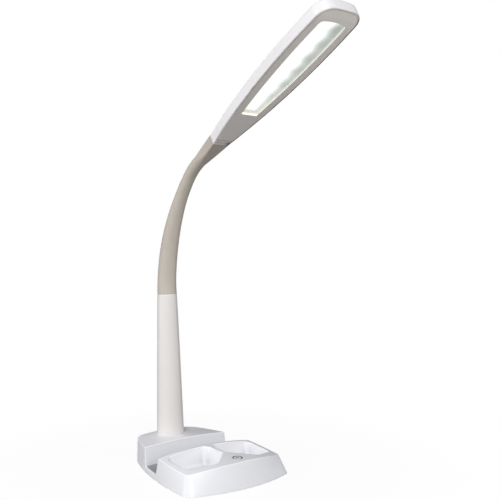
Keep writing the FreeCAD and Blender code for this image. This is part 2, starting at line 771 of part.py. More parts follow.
bore = size("post_bore_radius")
foot_radius = size("post_foot_radius")
top_radius = size("post_top_radius")
length = size("post_length")
chamfer = size("post_top_chamfer")
post_blank = turned("post_blank", [
    (bore, ledge_low),
    (size("post_stub_radius"), ledge_low),
    (size("post_stub_radius"), seat_low),
    (foot_radius, seat_low),
    (foot_radius, 0, (size("post_middle_radius"), length / 2)),
    (top_radius, length - chamfer),
    (top_radius - chamfer, length),
    (bore, length),
])
place(post_blank, 0, post_y, post_z, post_turn)


def post_screw_place(share):
    """Across and along offsets of one post screw from the post's axis."""
    angle = term(share) * 360
    return size("post_screw_circle") * cosine(angle), size("post_screw_circle") * sine(angle)


def beside_post(name, radius, low, high, share):
    """A rod parallel to the post's axis at one screw's place."""
    across, along = post_screw_place(share)
    lean = size("post_lean_angle")
    y, z = on_post(low)
    return rod(name, radius, high - low, across, y + along * cosine(lean), z - along * sine(lean), post_turn)


post_screws = []
post_cuts = []
bracket_cuts = [along_post("bracket_bore_cut", size("bracket_bore"), bracket_low - overrun,
                           ledge_low + overrun)]
screw_top = bracket_low + size("post_screw_length")
for number, share in enumerate(POST_SCREW_SHARES, start=1):
    hole = size("post_screw_radius") + size("slide_gap")
    post_cuts.append(beside_post("post_screw_hole_%d" % number, hole, ledge_low - overrun,
                                 screw_top + overrun, share))
    bracket_cuts.append(beside_post("bracket_hole_%d" % number, hole, bracket_low - overrun,
                                    ledge_low + overrun, share))
    shank = beside_post("post_screw_shank_%d" % number, size("post_screw_radius"), bracket_low,
                        screw_top, share)
    head = beside_post("post_screw_head_%d" % number, size("post_screw_head_radius"),
                       bracket_low - size("post_screw_head_thick"), bracket_low, share)
    post_screws.append(join("post_screw_%d" % number, [shank, head]))
node(cut("post_form", post_blank, join("post_cuts", post_cuts)), "post")
bracket_blank = along_post("bracket_blank", size("bracket_radius"), bracket_low, ledge_low)
node(cut("bracket", bracket_blank, join("bracket_cuts", bracket_cuts)), "post_bracket")
node(group("post_screw_set", post_screws), "post_screws")

# Flexible neck: a chain of ball-ended links inside a soft sleeve

neck_radii = [size("neck_foot_radius") * share for share in NECK_RADIUS_SHARES]
neck_step = arc_angle(size("neck_spacing"), size("neck_bend_radius"))
half_swing = (size("neck_swing_angle") + neck_step) / 2
chord = size("neck_bend_radius") * sine(neck_step / 2) * 2


def end_gap(radius):
    """Room that a link's end leaves at a joint, so that its rim clears at full forward swing."""
    return radius * tangent(half_swing) + size("plate_gap")


def core_radius(radius):
    return radius - size("sleeve_wall")


def ball_radius(radius):
    return core_radius(radius) - size("ball_inset")


def ball_corners(radius, centre):
    """The shoulder, ball and pole of a link's upper end, from outside to the axis."""
    ball = ball_radius(radius)
    gap = end_gap(radius)
    waist = root(ball * ball - gap * gap)
    lower = centre - gap
    flank = term(math.sqrt(0.5))
    return [
        (core_radius(radius), lower),
        (waist, lower, (ball * flank, centre + ball * flank)),
        (0, centre + ball),
    ]


def cup_corners(radius):
    """The pole, cup and rim of a link's lower end, from the axis outwards."""
    cup = ball_radius(radius) + size("slide_gap")
    gap = end_gap(radius)
    waist = root(cup * cup - gap * gap)
    flank = term(math.sqrt(0.5))
    return [
        (0, cup, (cup * flank, cup * flank)),
        (waist, gap),
        (core_radius(radius), gap),
    ]


def sleeve(name, low_radius, high_radius, low, high):
    """A tapering length of the soft sleeve."""
    inside = size("sleeve_wall")
    return turned(name, [(low_radius - inside, low), (low_radius, low), (high_radius, high),
                         (high_radius - inside, high)])


collar = size("neck_collar")
first_radius = neck_radii[0]
socket = turned("neck_socket_form", [
    (0, -size("stem_length")),
    (bore - size("slide_gap"), -size("stem_length")),
    (bore - size("slide_gap"), 0),
    (core_radius(size("neck_foot_radius")), 0),
] + ball_corners(first_radius, collar))
top_y, top_z = on_post(length)
node(place(socket, 0, top_y, top_z, post_turn), "neck_socket")
collar_sleeve = sleeve("neck_collar_form", size("neck_foot_radius"), first_radius, term(0),
                       collar - end_gap(first_radius))
node(place(collar_sleeve, 0, top_y, top_z, post_turn), "neck_sleeve_0")

joint_y, joint_z = on_post(length + collar)
joint_places = [(joint_y, joint_z)]
rise = size("neck_first_angle")
for number in range(1, LINK_COUNT + 1):
    low_radius = neck_radii[number - 1]
    high_radius = neck_radii[number]
    direction = rise - neck_step / 2
    turn = term(QUARTER_TURN_ANGLE) - direction
    link = turned("neck_link_form_%d" % number,
                  cup_corners(low_radius) + ball_corners(high_radius, chord))
    node(place(link, 0, joint_y, joint_z, turn), "neck_link_%d" % number)
    cover = sleeve("neck_sleeve_form_%d" % number, low_radius, high_radius, end_gap(low_radius),
                   chord - end_gap(high_radius))
    node(place(cover, 0, joint_y, joint_z, turn), "neck_sleeve_%d" % number)
    joint_y = joint_y - chord * cosine(direction)
    joint_z = joint_z + chord * sine(direction)
    joint_places.append((joint_y, joint_z))
    rise = rise - neck_step

# Neck end: the last stretch bends to the head's direction and widens into its flat section

head_turn = -size("head_rise_angle")
end_radius = neck_radii[-1]
end_bend = size("neck_end_radius")
bend_y = joint_y - end_bend * (sine(rise) - sine(size("head_rise_angle")))
bend_z = joint_z + end_bend * (cosine(size("head_rise_angle")) - cosine(rise))
flare = size("neck_flare")
middle_y = bend_y - flare * cosine(size("head_rise_angle"))
middle_z = bend_z + flare * sine(size("head_rise_angle"))
head_y = middle_y - size("head_thick") / 2 * sine(size("head_rise_angle"))
head_z = middle_z - size("head_thick") / 2 * cosine(size("head_rise_angle"))


def section_wire(half_x, half_z, corner):
    """A rounded rectangle across local Y, as four lines and four arcs."""
    ring = []
    flat_x = half_x - corner
    flat_z = half_z - corner
    for sx, sz, start in ((1, 1, 0), (-1, 1, 90), (-1, -1, 180), (1, -1, 270)):
        points = []
        for step in (0, 45, 90):
            angle = math.radians(start + step)
            points.append(FreeCAD.Vector(sx * flat_x + corner * math.cos(angle), 0,
                                         sz * flat_z + corner * math.sin(angle)))
        ring.append(points)
    edges = []
    for index, points in enumerate(ring):
        edges.append(Part.Arc(*points).toShape())
        edges.append(Part.makeLine(points[-1], ring[(index + 1) % 4][0]))
    return Part.Wire(edges)


def bend_section(half_width, share):
    """A round section of the neck's end bend; share runs from its first section to its last."""
    bend = end_bend.value
    start = rise.value
    first = start - math.degrees(end_gap(end_radius).value / bend)
    angle = first + (size("head_rise_angle").value - first) * share
    y = joint_y.value - bend * (math.sin(math.radians(start)) - math.sin(math.radians(angle)))
    z = joint_z.value + bend * (math.cos(math.radians(angle)) - math.cos(math.radians(start)))
    wire = section_wire(half_width, half_width, half_width * END_ROUND_SHARE)
    wire.Placement = FreeCAD.Placement(FreeCAD.Vector(0, y, z),
                                       FreeCAD.Rotation(FreeCAD.Vector(1, 0, 0), -angle))
    return wire


def bent_length(half_width):
    """The bent round length of the neck's end."""
    return Part.makeLoft([bend_section(half_width, share) for share in END_BEND_SHARES], True, False)


def shape_feature(name, shape):
    item = doc.addObject("Part::Feature", name)
    item.Shape = shape
    return item


mouth = section_wire(size("head_near_half").value, size("head_thick").value / 2,
                     size("neck_mouth_round").value)
mouth.Placement = FreeCAD.Placement(FreeCAD.Vector(0, middle_y.value, middle_z.value),
                                    FreeCAD.Rotation(FreeCAD.Vector(1, 0, 0), head_turn.value))
widening = Part.makeLoft([bend_section(end_radius.value, 1), mouth], True, True)
end_sleeve = shape_feature("neck_end_outer", bent_length(end_radius.value).fuse(widening))
end_core = shape_feature("neck_end_inner", bent_length(core_radius(end_radius).value))


def in_head(item):
    """Moves an object drawn flat, with its underside level and the tip towards -Y, to the head."""
    return place(item, 0, head_y, head_z, head_turn)


tang_half = size("tang_half")
tang_low = (size("head_thick") - size("tang_thick")) / 2
tang_high = tang_low + size("tang_thick")
tang_block = box("tang_block", -tang_half, tang_half, -size("tang_reach"), flare, tang_low, tang_high)
tang_bar = in_head(group("tang_bar", [tang_block]))
cup_ball = doc.addObject("Part::Sphere", "neck_end_cup")
bind(cup_ball, "Radius", ball_radius(end_radius) + size("slide_gap"))
place(cup_ball, 0, joint_y, joint_z)

tang_screw_places = [size("tang_screw_at"), size("tang_screw_at") + size("tang_screw_pitch")]
head_tip_at = size("head_length") - size("head_tip_bow")
lens_far_at = size("head_length") - size("lens_rim")
board_screw_places = [size("board_screw_at"), lens_far_at - size("board_screw_gap")]
shank_radius = size("head_screw_radius")
shank_hole = shank_radius + size("slide_gap")
ceiling = size("head_thick") - size("cover_wall")
board_low = size("led_board_lift")
board_high = board_low + size("led_board_thick")
tang_holes = in_head(join("tang_holes", [
    rod("tang_hole_%d" % number, shank_hole, size("head_thick"), 0, -along)
    for number, along in enumerate(tang_screw_places, start=1)]))
end_core_whole = join("neck_end_core_whole", [end_core, tang_bar])
core_cuts = join("neck_end_core_cuts", [cup_ball, tang_holes])
node(cut("neck_end_core_form", end_core_whole, core_cuts), "neck_end_core")
node(cut("neck_end_sleeve_form", end_sleeve, end_core_whole), "neck_end_sleeve")

# Head: cover, underside panel, lens, reflector, light board and chips


def head_path(inset):
    near = size("head_near_half") - inset
    wide = size("head_wide_half") - inset
    tip = size("head_tip_half") - inset
    tip_y = inset - head_tip_at
    wide_y = -size("head_wide_at")
    return [
        (-near, -inset),
        (near, -inset, (wide, wide_y)),
        (tip, tip_y, (0, inset - size("head_length"))),
        (-tip, tip_y, (-wide, wide_y)),
    ]


def lens_path(inset):
    near = size("lens_near_half") - inset
    wide = size("lens_wide_half") - inset
    tip = size("lens_tip_half") - inset
    tip_y = inset - lens_far_at + size("lens_bow")
    near_y = -size("lens_near_at") - inset
    wide_y = -size("lens_wide_at")
    return [
        (-near, near_y),
        (near, near_y, (wide, wide_y)),
        (tip, tip_y, (0, inset - lens_far_at)),
        (-tip, tip_y, (-wide, wide_y)),
    ]


def tip_rounded(name, path, low, high, radius, middle_at):
    """A level plate whose two far corners are rounded."""
    plate = slab(name + "_plate", path, low, high)
    doc.recompute()
    edges = []
    for index, edge in enumerate(plate.Shape.Edges, start=1):
        start = edge.Vertexes[0].Point
        end = edge.Vertexes[-1].Point
        upright = abs(start.z - end.z) > (high - low).value / 2
        if upright and start.y < -middle_at.value:
            edges.append((index, radius.value, radius.value))
    return round_edges(name, plate, edges)


def head_plate(name, inset, low, high):
    return tip_rounded(name, head_path(inset), low, high, size("head_tip_round") - inset,
                       size("head_wide_at"))


def lens_plate(name, inset, low, high):
    return tip_rounded(name, lens_path(inset), low, high, size("lens_round") - inset, size("lens_wide_at"))


def rim_edges(item, height, near, top_round, rim_round):
    """Rounds for the edges of the cover's top and of its bottom, without those at the neck."""
    chosen = []
    for index, edge in enumerate(item.Shape.Edges, start=1):
        at_neck = edge.BoundBox.YMin > -near.value
        if edge.BoundBox.ZMin > height.value - near.value and not at_neck:
            chosen.append((index, top_round, top_round))
        if edge.BoundBox.ZMax < near.value and not at_neck:
            chosen.append((index, rim_round, rim_round))
    return chosen


cover_wall = size("cover_wall")
head_thick = size("head_thick")
cover_block = head_plate("cover_block", term(0), term(0), head_thick)
doc.recompute()
cover_outer = round_edges("cover_outer", cover_block,
                          rim_edges(cover_block, head_thick, size("fit_gap"),
                                    size("head_edge_round").value, size("head_rim_round").value))
cover_space = head_plate("cover_space", cover_wall, -overrun, ceiling)
cover_bosses = []
cover_cuts = []
boss = size("head_boss_radius")
for number, along in enumerate(tang_screw_places, start=1):
    cover_bosses.append(rod("tang_boss_%d" % number, boss, ceiling - tang_high + fit, 0, -along, tang_high))
    cover_cuts.append(rod("tang_boss_hole_%d" % number, shank_hole, ceiling - tang_high,
                          0, -along, tang_high))
for number, along in enumerate(board_screw_places, start=1):
    cover_bosses.append(rod("board_boss_%d" % number, boss, ceiling - board_high + fit,
                            0, -along, board_high))
    cover_cuts.append(rod("board_boss_hole_%d" % number, shank_hole, ceiling - board_high,
                          0, -along, board_high))
tang_side = tang_half + size("slide_gap")
near_wall = size("cover_near_wall")
cover_side = size("head_wide_half")
cover_cuts.append(box("tang_slot", -tang_side, tang_side, -near_wall - overrun, overrun,
                      tang_low - size("slide_gap"), tang_high + size("slide_gap")))
cover_bosses.append(box("cover_near_block", -cover_side, cover_side, -near_wall, overrun,
                        -overrun * 2, ceiling + overrun))
cover_cuts.append(cut("cover_hollow", cover_space, join("cover_boss_set", cover_bosses)))
node(in_head(cut("cover", cover_outer, join("cover_cuts", cover_cuts))), "head_cover")

panel_top = size("panel_thick")
panel_blank = head_plate("panel_blank", cover_wall + panel_gap, term(0), panel_top)
wall_top = panel_top + size("lens_wall_rise")
panel_wall = lens_plate("panel_wall", -size("lens_lip"), panel_top, wall_top)
panel_mouth = lens_plate("panel_mouth", -fit, -overrun, wall_top + overrun)
panel_near = box("panel_near", -cover_side, cover_side, -near_wall - panel_gap, overrun,
                 -overrun, panel_top + overrun)
panel_whole = join("panel_whole", [panel_blank, panel_wall])
node(in_head(cut("panel", panel_whole, join("panel_cuts", [panel_mouth, panel_near]))), "head_panel")

lip_top = wall_top + size("lens_lip_thick")
lens_face = lens_plate("lens_face", term(0), size("lens_sink"), wall_top)
lens_back = lens_plate("lens_back", -size("lens_lip"), wall_top, lip_top)
node(in_head(join("lens_form", [lens_face, lens_back])), "lens")

reflector_outer = lens_plate("reflector_outer", -size("lens_lip"), lip_top, board_low)
reflector_inner = lens_plate("reflector_inner", size("reflector_wall") - size("lens_lip"),
                             lip_top - overrun, board_low + overrun)
node(in_head(cut("reflector_form", reflector_outer, reflector_inner)), "reflector")

led_board_blank = lens_plate("led_board_blank", -size("lens_lip"), board_low, board_high)
board_holes = join("board_holes", [
    rod("board_hole_%d" % number, shank_hole, size("led_board_thick") + overrun * 2,
        0, -along, board_low - overrun)
    for number, along in enumerate(board_screw_places, start=1)])
node(in_head(cut("led_board_form", led_board_blank, board_holes)), "led_board")

chips = []
led_pitch = (lens_far_at - size("led_end_gap") - size("led_first_at")) / (LED_ROWS - 1)
for row in range(LED_ROWS):
    along = size("led_first_at") + led_pitch * row
    for side in (-1, 1):
        across = size("led_side_x") * side
        chips.append(box("led_%d_%s" % (row + 1, "left" if side < 0 else "right"),
                         across - size("led_half_x"), across + size("led_half_x"),
                         -along - size("led_half_y"), -along + size("led_half_y"),
                         board_low - size("led_thick"), board_low))
node(in_head(group("led_set", chips)), "led_chips")


def head_screws(name, places, seat, tip):
    """Screws whose heads lie under seat and whose tips reach up to tip."""
    made = []
    for number, along in enumerate(places, start=1):
        shank = rod("%s_shank_%d" % (name, number), shank_radius, tip - seat, 0, -along, seat)
        head = rod("%s_head_%d" % (name, number), size("head_screw_head_radius"),
                   size("head_screw_head_thick"), 0, -along, seat - size("head_screw_head_thick"))
        made.append(join("%s_%d" % (name, number), [shank, head]))
    return in_head(group(name + "_set", made))


node(head_screws("tang_screw", tang_screw_places, tang_low, ceiling - size("slide_gap")), "tang_screws")
node(head_screws("board_screw", board_screw_places, board_low, ceiling - size("slide_gap")), "board_screws")

# Checks, then one file for each piece

doc.recompute()
for item in doc.Objects:
    failed = [word for word in item.State if word in ("Invalid", "Error")]
    if failed:
        raise RuntimeError("%s is %s" % (item.Name, ", ".join(failed)))
os.makedirs("parts", exist_ok=True)
for item in NODES:
    shape = item.Shape
    if shape.isNull() or not shape.isValid() or not shape.Solids:
        raise RuntimeError("%s has no valid solid" % item.Label)
    shape.exportStep("parts/%s.step" % item.Label)
    print("%-18s solids %2d  volume %9.1f mm3" % (item.Label, len(shape.Solids), shape.Volume))
for number, (y, z) in enumerate(joint_places, start=1):
    print("neck joint %d at y %.3f z %.3f" % (number, y.value, z.value))
print("neck step %.4f degrees, head at y %.3f z %.3f" % (neck_step.value, head_y.value, head_z.value))
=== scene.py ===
import json
import math

import bpy
import numpy as np
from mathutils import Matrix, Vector


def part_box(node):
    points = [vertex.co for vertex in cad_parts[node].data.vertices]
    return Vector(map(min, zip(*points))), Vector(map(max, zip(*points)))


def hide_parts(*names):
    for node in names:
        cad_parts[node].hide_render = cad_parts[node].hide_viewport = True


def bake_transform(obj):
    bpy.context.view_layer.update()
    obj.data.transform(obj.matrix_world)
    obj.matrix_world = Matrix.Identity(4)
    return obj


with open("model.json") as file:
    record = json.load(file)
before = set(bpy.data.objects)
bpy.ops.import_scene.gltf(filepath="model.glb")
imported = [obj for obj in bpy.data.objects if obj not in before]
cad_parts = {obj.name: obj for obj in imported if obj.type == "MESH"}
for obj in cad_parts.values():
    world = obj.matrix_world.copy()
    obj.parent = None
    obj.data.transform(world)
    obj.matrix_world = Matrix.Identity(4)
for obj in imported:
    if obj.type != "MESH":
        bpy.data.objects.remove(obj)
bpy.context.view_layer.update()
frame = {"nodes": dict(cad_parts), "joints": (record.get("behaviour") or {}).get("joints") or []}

bl_info = {
    "name": "Desk Lamp Finish",
    "version": (1, 0, 0),
    "blender": (4, 5, 0),
    "location": "3D View > Sidebar > Lamp",
    "description": "Builds the lamp's soft neck sleeve and gives every piece of the lamp its finish",
    "category": "Object",
}

# Joints of the neck, from the post to the head
NECK_JOINTS = sorted(frame["joints"], key=lambda joint: joint["pos_m"][2])
FIRST_JOINT = NECK_JOINTS[0]["pos_m"]

# Radius of the sleeve at the post and at the six joints, as shares of its radius at the post
SLEEVE_RADIUS_SHARES = (1.0, 0.972, 0.936, 0.872, 0.772, 0.666, 0.617)
# Powers by which the flare's half width, half height and corner radius run to those of the mouth
WIDTH_POWER, HEIGHT_POWER, CORNER_POWER = 1.9, 0.8, 2.2
# Largest corner radius, as a share of the half width or the half height
FULLEST_CORNER = 0.996
# Points of the collar's line, of the rest of the line, and of each quarter circle of a ring
COLLAR_POINTS, LINE_POINTS, CORNER_POINTS = 56, 4001, 16
# Rings of a rounded end, and the distance between two rings in metres
LIP_RINGS, RING_STEP = 6, 0.0008
# Edges stay sharp above this angle
SHARP_ANGLE = math.radians(40)


# Settings


def length_setting(name, description, default):
    return bpy.props.FloatProperty(name=name, description=description, default=default,
                                   unit="LENGTH", subtype="DISTANCE")


def angle_setting(name, description, degrees):
    return bpy.props.FloatProperty(name=name, description=description, default=math.radians(degrees),
                                   unit="ROTATION", subtype="ANGLE")


def power_setting(name, description, watts):
    return bpy.props.FloatProperty(name=name, description=description, default=watts, unit="POWER")


def colour_setting(name, description, default):
    return bpy.props.FloatVectorProperty(name=name, description=description, default=default,
                                         subtype="COLOR", size=3, min=0, max=1)


class LampSleeveSizes(bpy.types.PropertyGroup):
    """Sizes of the soft sleeve over the neck"""

    foot_radius: length_setting("Foot radius", "Sleeve radius at the post's top", 0.01215)
    collar: length_setting("Collar", "Post top to the first neck joint", 0.014)
    spacing: length_setting("Joint spacing", "Neck joints along the middle line", 0.028)
    bend_radius: length_setting("Bend radius", "Bend of the neck's middle line", 0.206)
    end_bend_radius: length_setting("End bend radius", "Bend of the last round stretch", 0.082)
    flare: length_setting("Flare", "Straight stretch that widens into the head", 0.0442)
    post_direction: angle_setting("Post direction", "Direction of the post above level", 92.5)
    first_direction: angle_setting("First direction", "Direction of the neck at its first joint", 88.6)
    head_direction: angle_setting("Head direction", "Direction of the head above level", 28.1)
    mouth_half_width: length_setting("Mouth half width", "Half width where the neck meets the head", 0.0111)
    mouth_half_height: length_setting(
        "Mouth half height", "Half height where the neck meets the head", 0.00665)
    mouth_round: length_setting("Mouth edge", "Edge radius where the neck meets the head", 0.0012)
    skin: length_setting("Skin", "Thickness of the soft sleeve", 0.001)
    lip: length_setting("Lip", "Round at the sleeve's two ends", 0.0005)
    bend_reach: length_setting("Bend reach", "Sleeve on each side of a joint that takes its bend", 0.0135)


class LampLensPlaces(bpy.types.PropertyGroup):
    """Places on the head's underside, measured from the neck"""

    near: length_setting("Near end", "Neck to the near end of the lens", 0.0577)
    far: length_setting("Far end", "Neck to the far end of the lens", 0.2072)
    near_half: length_setting("Near half width", "Half width of the lens at its near end", 0.0105)
    far_half: length_setting("Far half width", "Half width of the lens at its far end", 0.0171)
    first_groove: length_setting(
        "First groove", "Neck to the first fine groove across the underside", 0.0038)
    second_groove: length_setting(
        "Second groove", "Neck to the second fine groove across the underside", 0.0084)


class LampColours(bpy.types.PropertyGroup):
    """Colours of the lamp's finishes"""

    shell: colour_setting("Base", "Moulded white of the base", (0.78, 0.785, 0.82))
    post: colour_setting("Post", "Moulded warm white of the post", (0.732, 0.703, 0.688))
    head: colour_setting("Head cover", "Moulded white of the head cover", (0.768, 0.753, 0.769))
    panel: colour_setting("Underside panel", "Fine matt white under the head", (0.86, 0.81, 0.77))
    sleeve: colour_setting("Neck sleeve", "Soft taupe of the neck", (0.495, 0.45, 0.398))
    slot_pad: colour_setting("Slot pad", "Soft grey pad in the cross slot", (0.285, 0.285, 0.305))
    # Painted reflection on the lens: its lit colour and its grey green painted shade
    lens_painted_light: colour_setting("Lens, lit", "Bright part of the light panel", (0.97, 0.97, 0.96))
    lens_painted_shade: colour_setting("Lens, shade", "Grey green part of the light panel", (0.385, 0.418, 0.39))
    seam: colour_setting("Seam", "Dark seam on the head's right", (0.07, 0.058, 0.05))
    groove: colour_setting("Grooves", "Fine grooves across the head's underside", (0.16, 0.15, 0.145))
    # Painted highlight on the panel's left, and painted light on the walls of the lens' recess
    painted_left_highlight: colour_setting("Seam light", "Bright line on the panel's left", (1.0, 0.99, 0.97))
    glow: colour_setting("Recess glow", "Light on the walls of the lens' recess", (1.0, 0.99, 0.88))
    reflector: colour_setting("Reflector", "White reflector behind the lens", (0.88, 0.88, 0.87))
    phosphor: colour_setting("Light chips", "Yellow face of the light chips", (0.93, 0.76, 0.22))
    phosphor_grain: colour_setting("Chip grains", "Grains of the light chips", (0.86, 0.64, 0.13))
    light_board: colour_setting("Light board", "Face of the light board", (0.84, 0.84, 0.83))
    light_track: colour_setting("Light tracks", "Tracks of the light board", (0.76, 0.76, 0.75))
    board: colour_setting("Boards", "Green face of the other boards", (0.02, 0.15, 0.055))
    board_track: colour_setting("Board tracks", "Tracks of the other boards", (0.05, 0.24, 0.09))
    pads: colour_setting("Pads", "Small pads of all boards", (0.62, 0.60, 0.56))
    rubber: colour_setting("Feet", "Dark rubber of the feet", (0.045, 0.045, 0.047))
    inlet: colour_setting("Power inlet", "Black moulding of the power inlet", (0.02, 0.02, 0.021))
    pin: colour_setting("Inlet pin", "Bright pin of the power inlet", (0.72, 0.70, 0.66))
    steel: colour_setting("Steel", "Screws, weight and bracket", (0.56, 0.56, 0.57))
    links: colour_setting("Neck links", "Metal core of the neck", (0.68, 0.68, 0.69))


class LampStudio(bpy.types.PropertyGroup):
    """Camera and lights"""

    camera_place: bpy.props.FloatVectorProperty(
        name="Camera place", description="Where the camera stands",
        default=(-0.51507, -0.73213, 0.26970), subtype="TRANSLATION", unit="LENGTH", size=3)
    camera_azimuth: angle_setting(
        "Camera azimuth", "Camera direction, from the lamp's length towards its right side", 38.72)
    camera_pitch: angle_setting("Camera pitch", "How far the camera looks down", 0.61)
    focal_length: bpy.props.FloatProperty(
        name="Focal length", description="Focal length on a 36 mm sensor", default=54.5, unit="CAMERA")
    front_power: power_setting("Front light", "Large soft light beside the camera", 94.0)
    front_rise: angle_setting("Front light's rise", "How high the front light stands", 35)
    left_power: power_setting("Left light", "Large soft light at the camera's left", 46.0)
    left_rise: angle_setting("Left light's rise", "How high the left light stands", 20)
    left_swing: angle_setting("Left light's swing", "How far left of the camera it stands", 75)
    right_power: power_setting("Right light", "Large soft light at the camera's right", 25.0)
    right_rise: angle_setting("Right light's rise", "How high the right light stands", 30)
    right_swing: angle_setting("Right light's swing", "How far right of the camera it stands", 80)
    light_distance: length_setting("Light distance", "Lights to the point they aim at", 3.2)
    light_width: length_setting("Light width", "Width of each square light", 1.95)
    light_aim: length_setting("Light aim", "Height of the point the lights aim at", 0.2)
    sky: bpy.props.FloatProperty(
        name="Sky", description="Even light from all round", default=0.07, min=0, max=2)
    floor_bounce: bpy.props.FloatProperty(
        name="Floor bounce", description="Share of light that the floor sends back up",
        default=0.46, min=0, max=1, subtype="FACTOR")
    floor_half: length_setting("Floor half width", "Half width of the square floor", 4)
    floor_near: length_setting("Floor, near", "Out to here the floor keeps its shadow", 0.12)
    floor_far: length_setting("Floor, far", "From here the floor is plain white", 0.40)
    floor_glow: bpy.props.FloatProperty(
        name="Floor glow", description="Share of plain white in the near floor",
        default=0.90, min=0, max=1, subtype="FACTOR")
    floor_tone: bpy.props.FloatProperty(
        name="Floor tone", description="Grey level of the rest of the near floor",
        default=0.97, min=0, max=1, subtype="FACTOR")


# Shapes


def smooth_through(knots, values, at):
    """A smooth curve through given values: between two knots it is the cubic that has the values at
    both ends and, as slopes, the slopes of the straight lines between each knot's neighbours."""
    knots = np.asarray(knots, float)
    values = np.asarray(values, float)
    slopes = np.gradient(values, knots)
    index = np.clip(np.searchsorted(knots, at) - 1, 0, len(knots) - 2)
    span = knots[index + 1] - knots[index]
    t = np.clip((at - knots[index]) / span, 0, 1)
    return ((2 * t**3 - 3 * t**2 + 1) * values[index] + (t**3 - 2 * t**2 + t) * span * slopes[index]
            + (3 * t**2 - 2 * t**3) * values[index + 1] + (t**3 - t**2) * span * slopes[index + 1])


def neck_lengths(sizes):
    """Distances along the neck from the post's top: each joint, the end of the bends, the mouth."""
    joints = sizes.collar + sizes.spacing * np.arange(len(NECK_JOINTS))
    turned = sizes.first_direction - (joints[-1] - sizes.collar) / sizes.bend_radius
    bends_end = joints[-1] + (turned - sizes.head_direction) * sizes.end_bend_radius
    return joints, bends_end, bends_end + sizes.flare


def neck_line(sizes):
    """The neck's middle line: distance, Y, Z and direction. In the collar it is the cubic between the
    post's direction and the first joint's. After that the direction falls at a steady rate, one over
    the bend radius, then at one over the end bend's, and then stays. The place is the running sum of
    the direction."""
    joints, bends_end, mouth = neck_lengths(sizes)
    t = np.linspace(0, 1, COLLAR_POINTS + 1)[:-1]
    first = np.array(FIRST_JOINT[1:])
    leave = np.array([-math.cos(sizes.post_direction), math.sin(sizes.post_direction)]) * sizes.collar
    arrive = np.array([-math.cos(sizes.first_direction), math.sin(sizes.first_direction)]) * sizes.collar
    foot = first - leave
    h = np.stack([2 * t**3 - 3 * t**2 + 1, t**3 - 2 * t**2 + t, 3 * t**2 - 2 * t**3, t**3 - t**2], 1)
    collar = h @ np.stack([foot, leave, first, arrive])
    collar_turn = sizes.post_direction + (sizes.first_direction - sizes.post_direction) * t
    distance = np.linspace(sizes.collar, mouth, LINE_POINTS)
    direction = sizes.first_direction - (np.minimum(distance, joints[-1]) - sizes.collar) / sizes.bend_radius
    direction = direction - np.clip(distance - joints[-1], 0, bends_end - joints[-1]) / sizes.end_bend_radius
    step = np.diff(distance)
    middle = (direction[1:] + direction[:-1]) / 2
    y = first[0] - np.concatenate([[0], np.cumsum(step * np.cos(middle))])
    z = first[1] + np.concatenate([[0], np.cumsum(step * np.sin(middle))])
    return (np.concatenate([t * sizes.collar, distance]), np.concatenate([collar[:, 0], y]),
            np.concatenate([collar[:, 1], z]), np.concatenate([collar_turn, direction]))


def sleeve_section(sizes, at):
    """Half width, half height and corner radius of the sleeve at distances along the neck. Round at
    first, with a radius that runs smoothly through its values at the joints, and then a rounded
    oblong whose sizes run to those of the head's mouth."""
    joints, bends_end, mouth = neck_lengths(sizes)
    knots = np.concatenate([[0], joints])
    radii = np.array(SLEEVE_RADIUS_SHARES) * sizes.foot_radius
    radius = smooth_through(knots, radii, np.minimum(at, joints[-1]))
    t = np.clip((at - bends_end) / (mouth - bends_end), 0, 1)
    width = radius + (sizes.mouth_half_width - radius) * t**WIDTH_POWER
    height = radius + (sizes.mouth_half_height - radius) * t**HEIGHT_POWER
    corner = radius + (sizes.mouth_round - radius) * (1 - (1 - t)**CORNER_POWER)
    return width, height, np.minimum(corner, np.minimum(width, height) * FULLEST_CORNER)


def rings(sizes, line, at, inset):
    """Rings of points round the middle line, as rings by points by XYZ. Each ring is four quarter
    circles about the corners' centres, set across the line's direction and drawn in by inset."""
    width, height, corner = (value[:, None] for value in sleeve_section(sizes, at))
    inset = np.broadcast_to(inset, at.shape)[:, None]
    quarter = np.repeat(np.arange(4), CORNER_POINTS)
    angle = (quarter + np.tile(np.linspace(0, 1, CORNER_POINTS), 4)) * math.pi / 2
    side = np.array([1, -1, -1, 1])[quarter]
    rise = np.array([1, 1, -1, -1])[quarter]
    across = side * (width - corner) + (corner - inset) * np.cos(angle)
    upward = rise * (height - corner) + (corner - inset) * np.sin(angle)
    distance, y, z, direction = line
    turn = np.interp(at, distance, direction)[:, None]
    centre_y = np.interp(at, distance, y)[:, None]
    centre_z = np.interp(at, distance, z)[:, None]
    return np.stack([across, centre_y + upward * np.sin(turn), centre_z + upward * np.cos(turn)], 2)


def grid_faces(rows, columns, start=0):
    """Four-cornered faces of a grid whose columns close on themselves."""
    row = np.arange(rows - 1)[:, None] * columns
    here = np.arange(columns)[None, :]
    after = (here + 1) % columns
    faces = np.stack([row + here, row + after, row + columns + after, row + columns + here], 2)
    return faces.reshape(-1, 4) + start


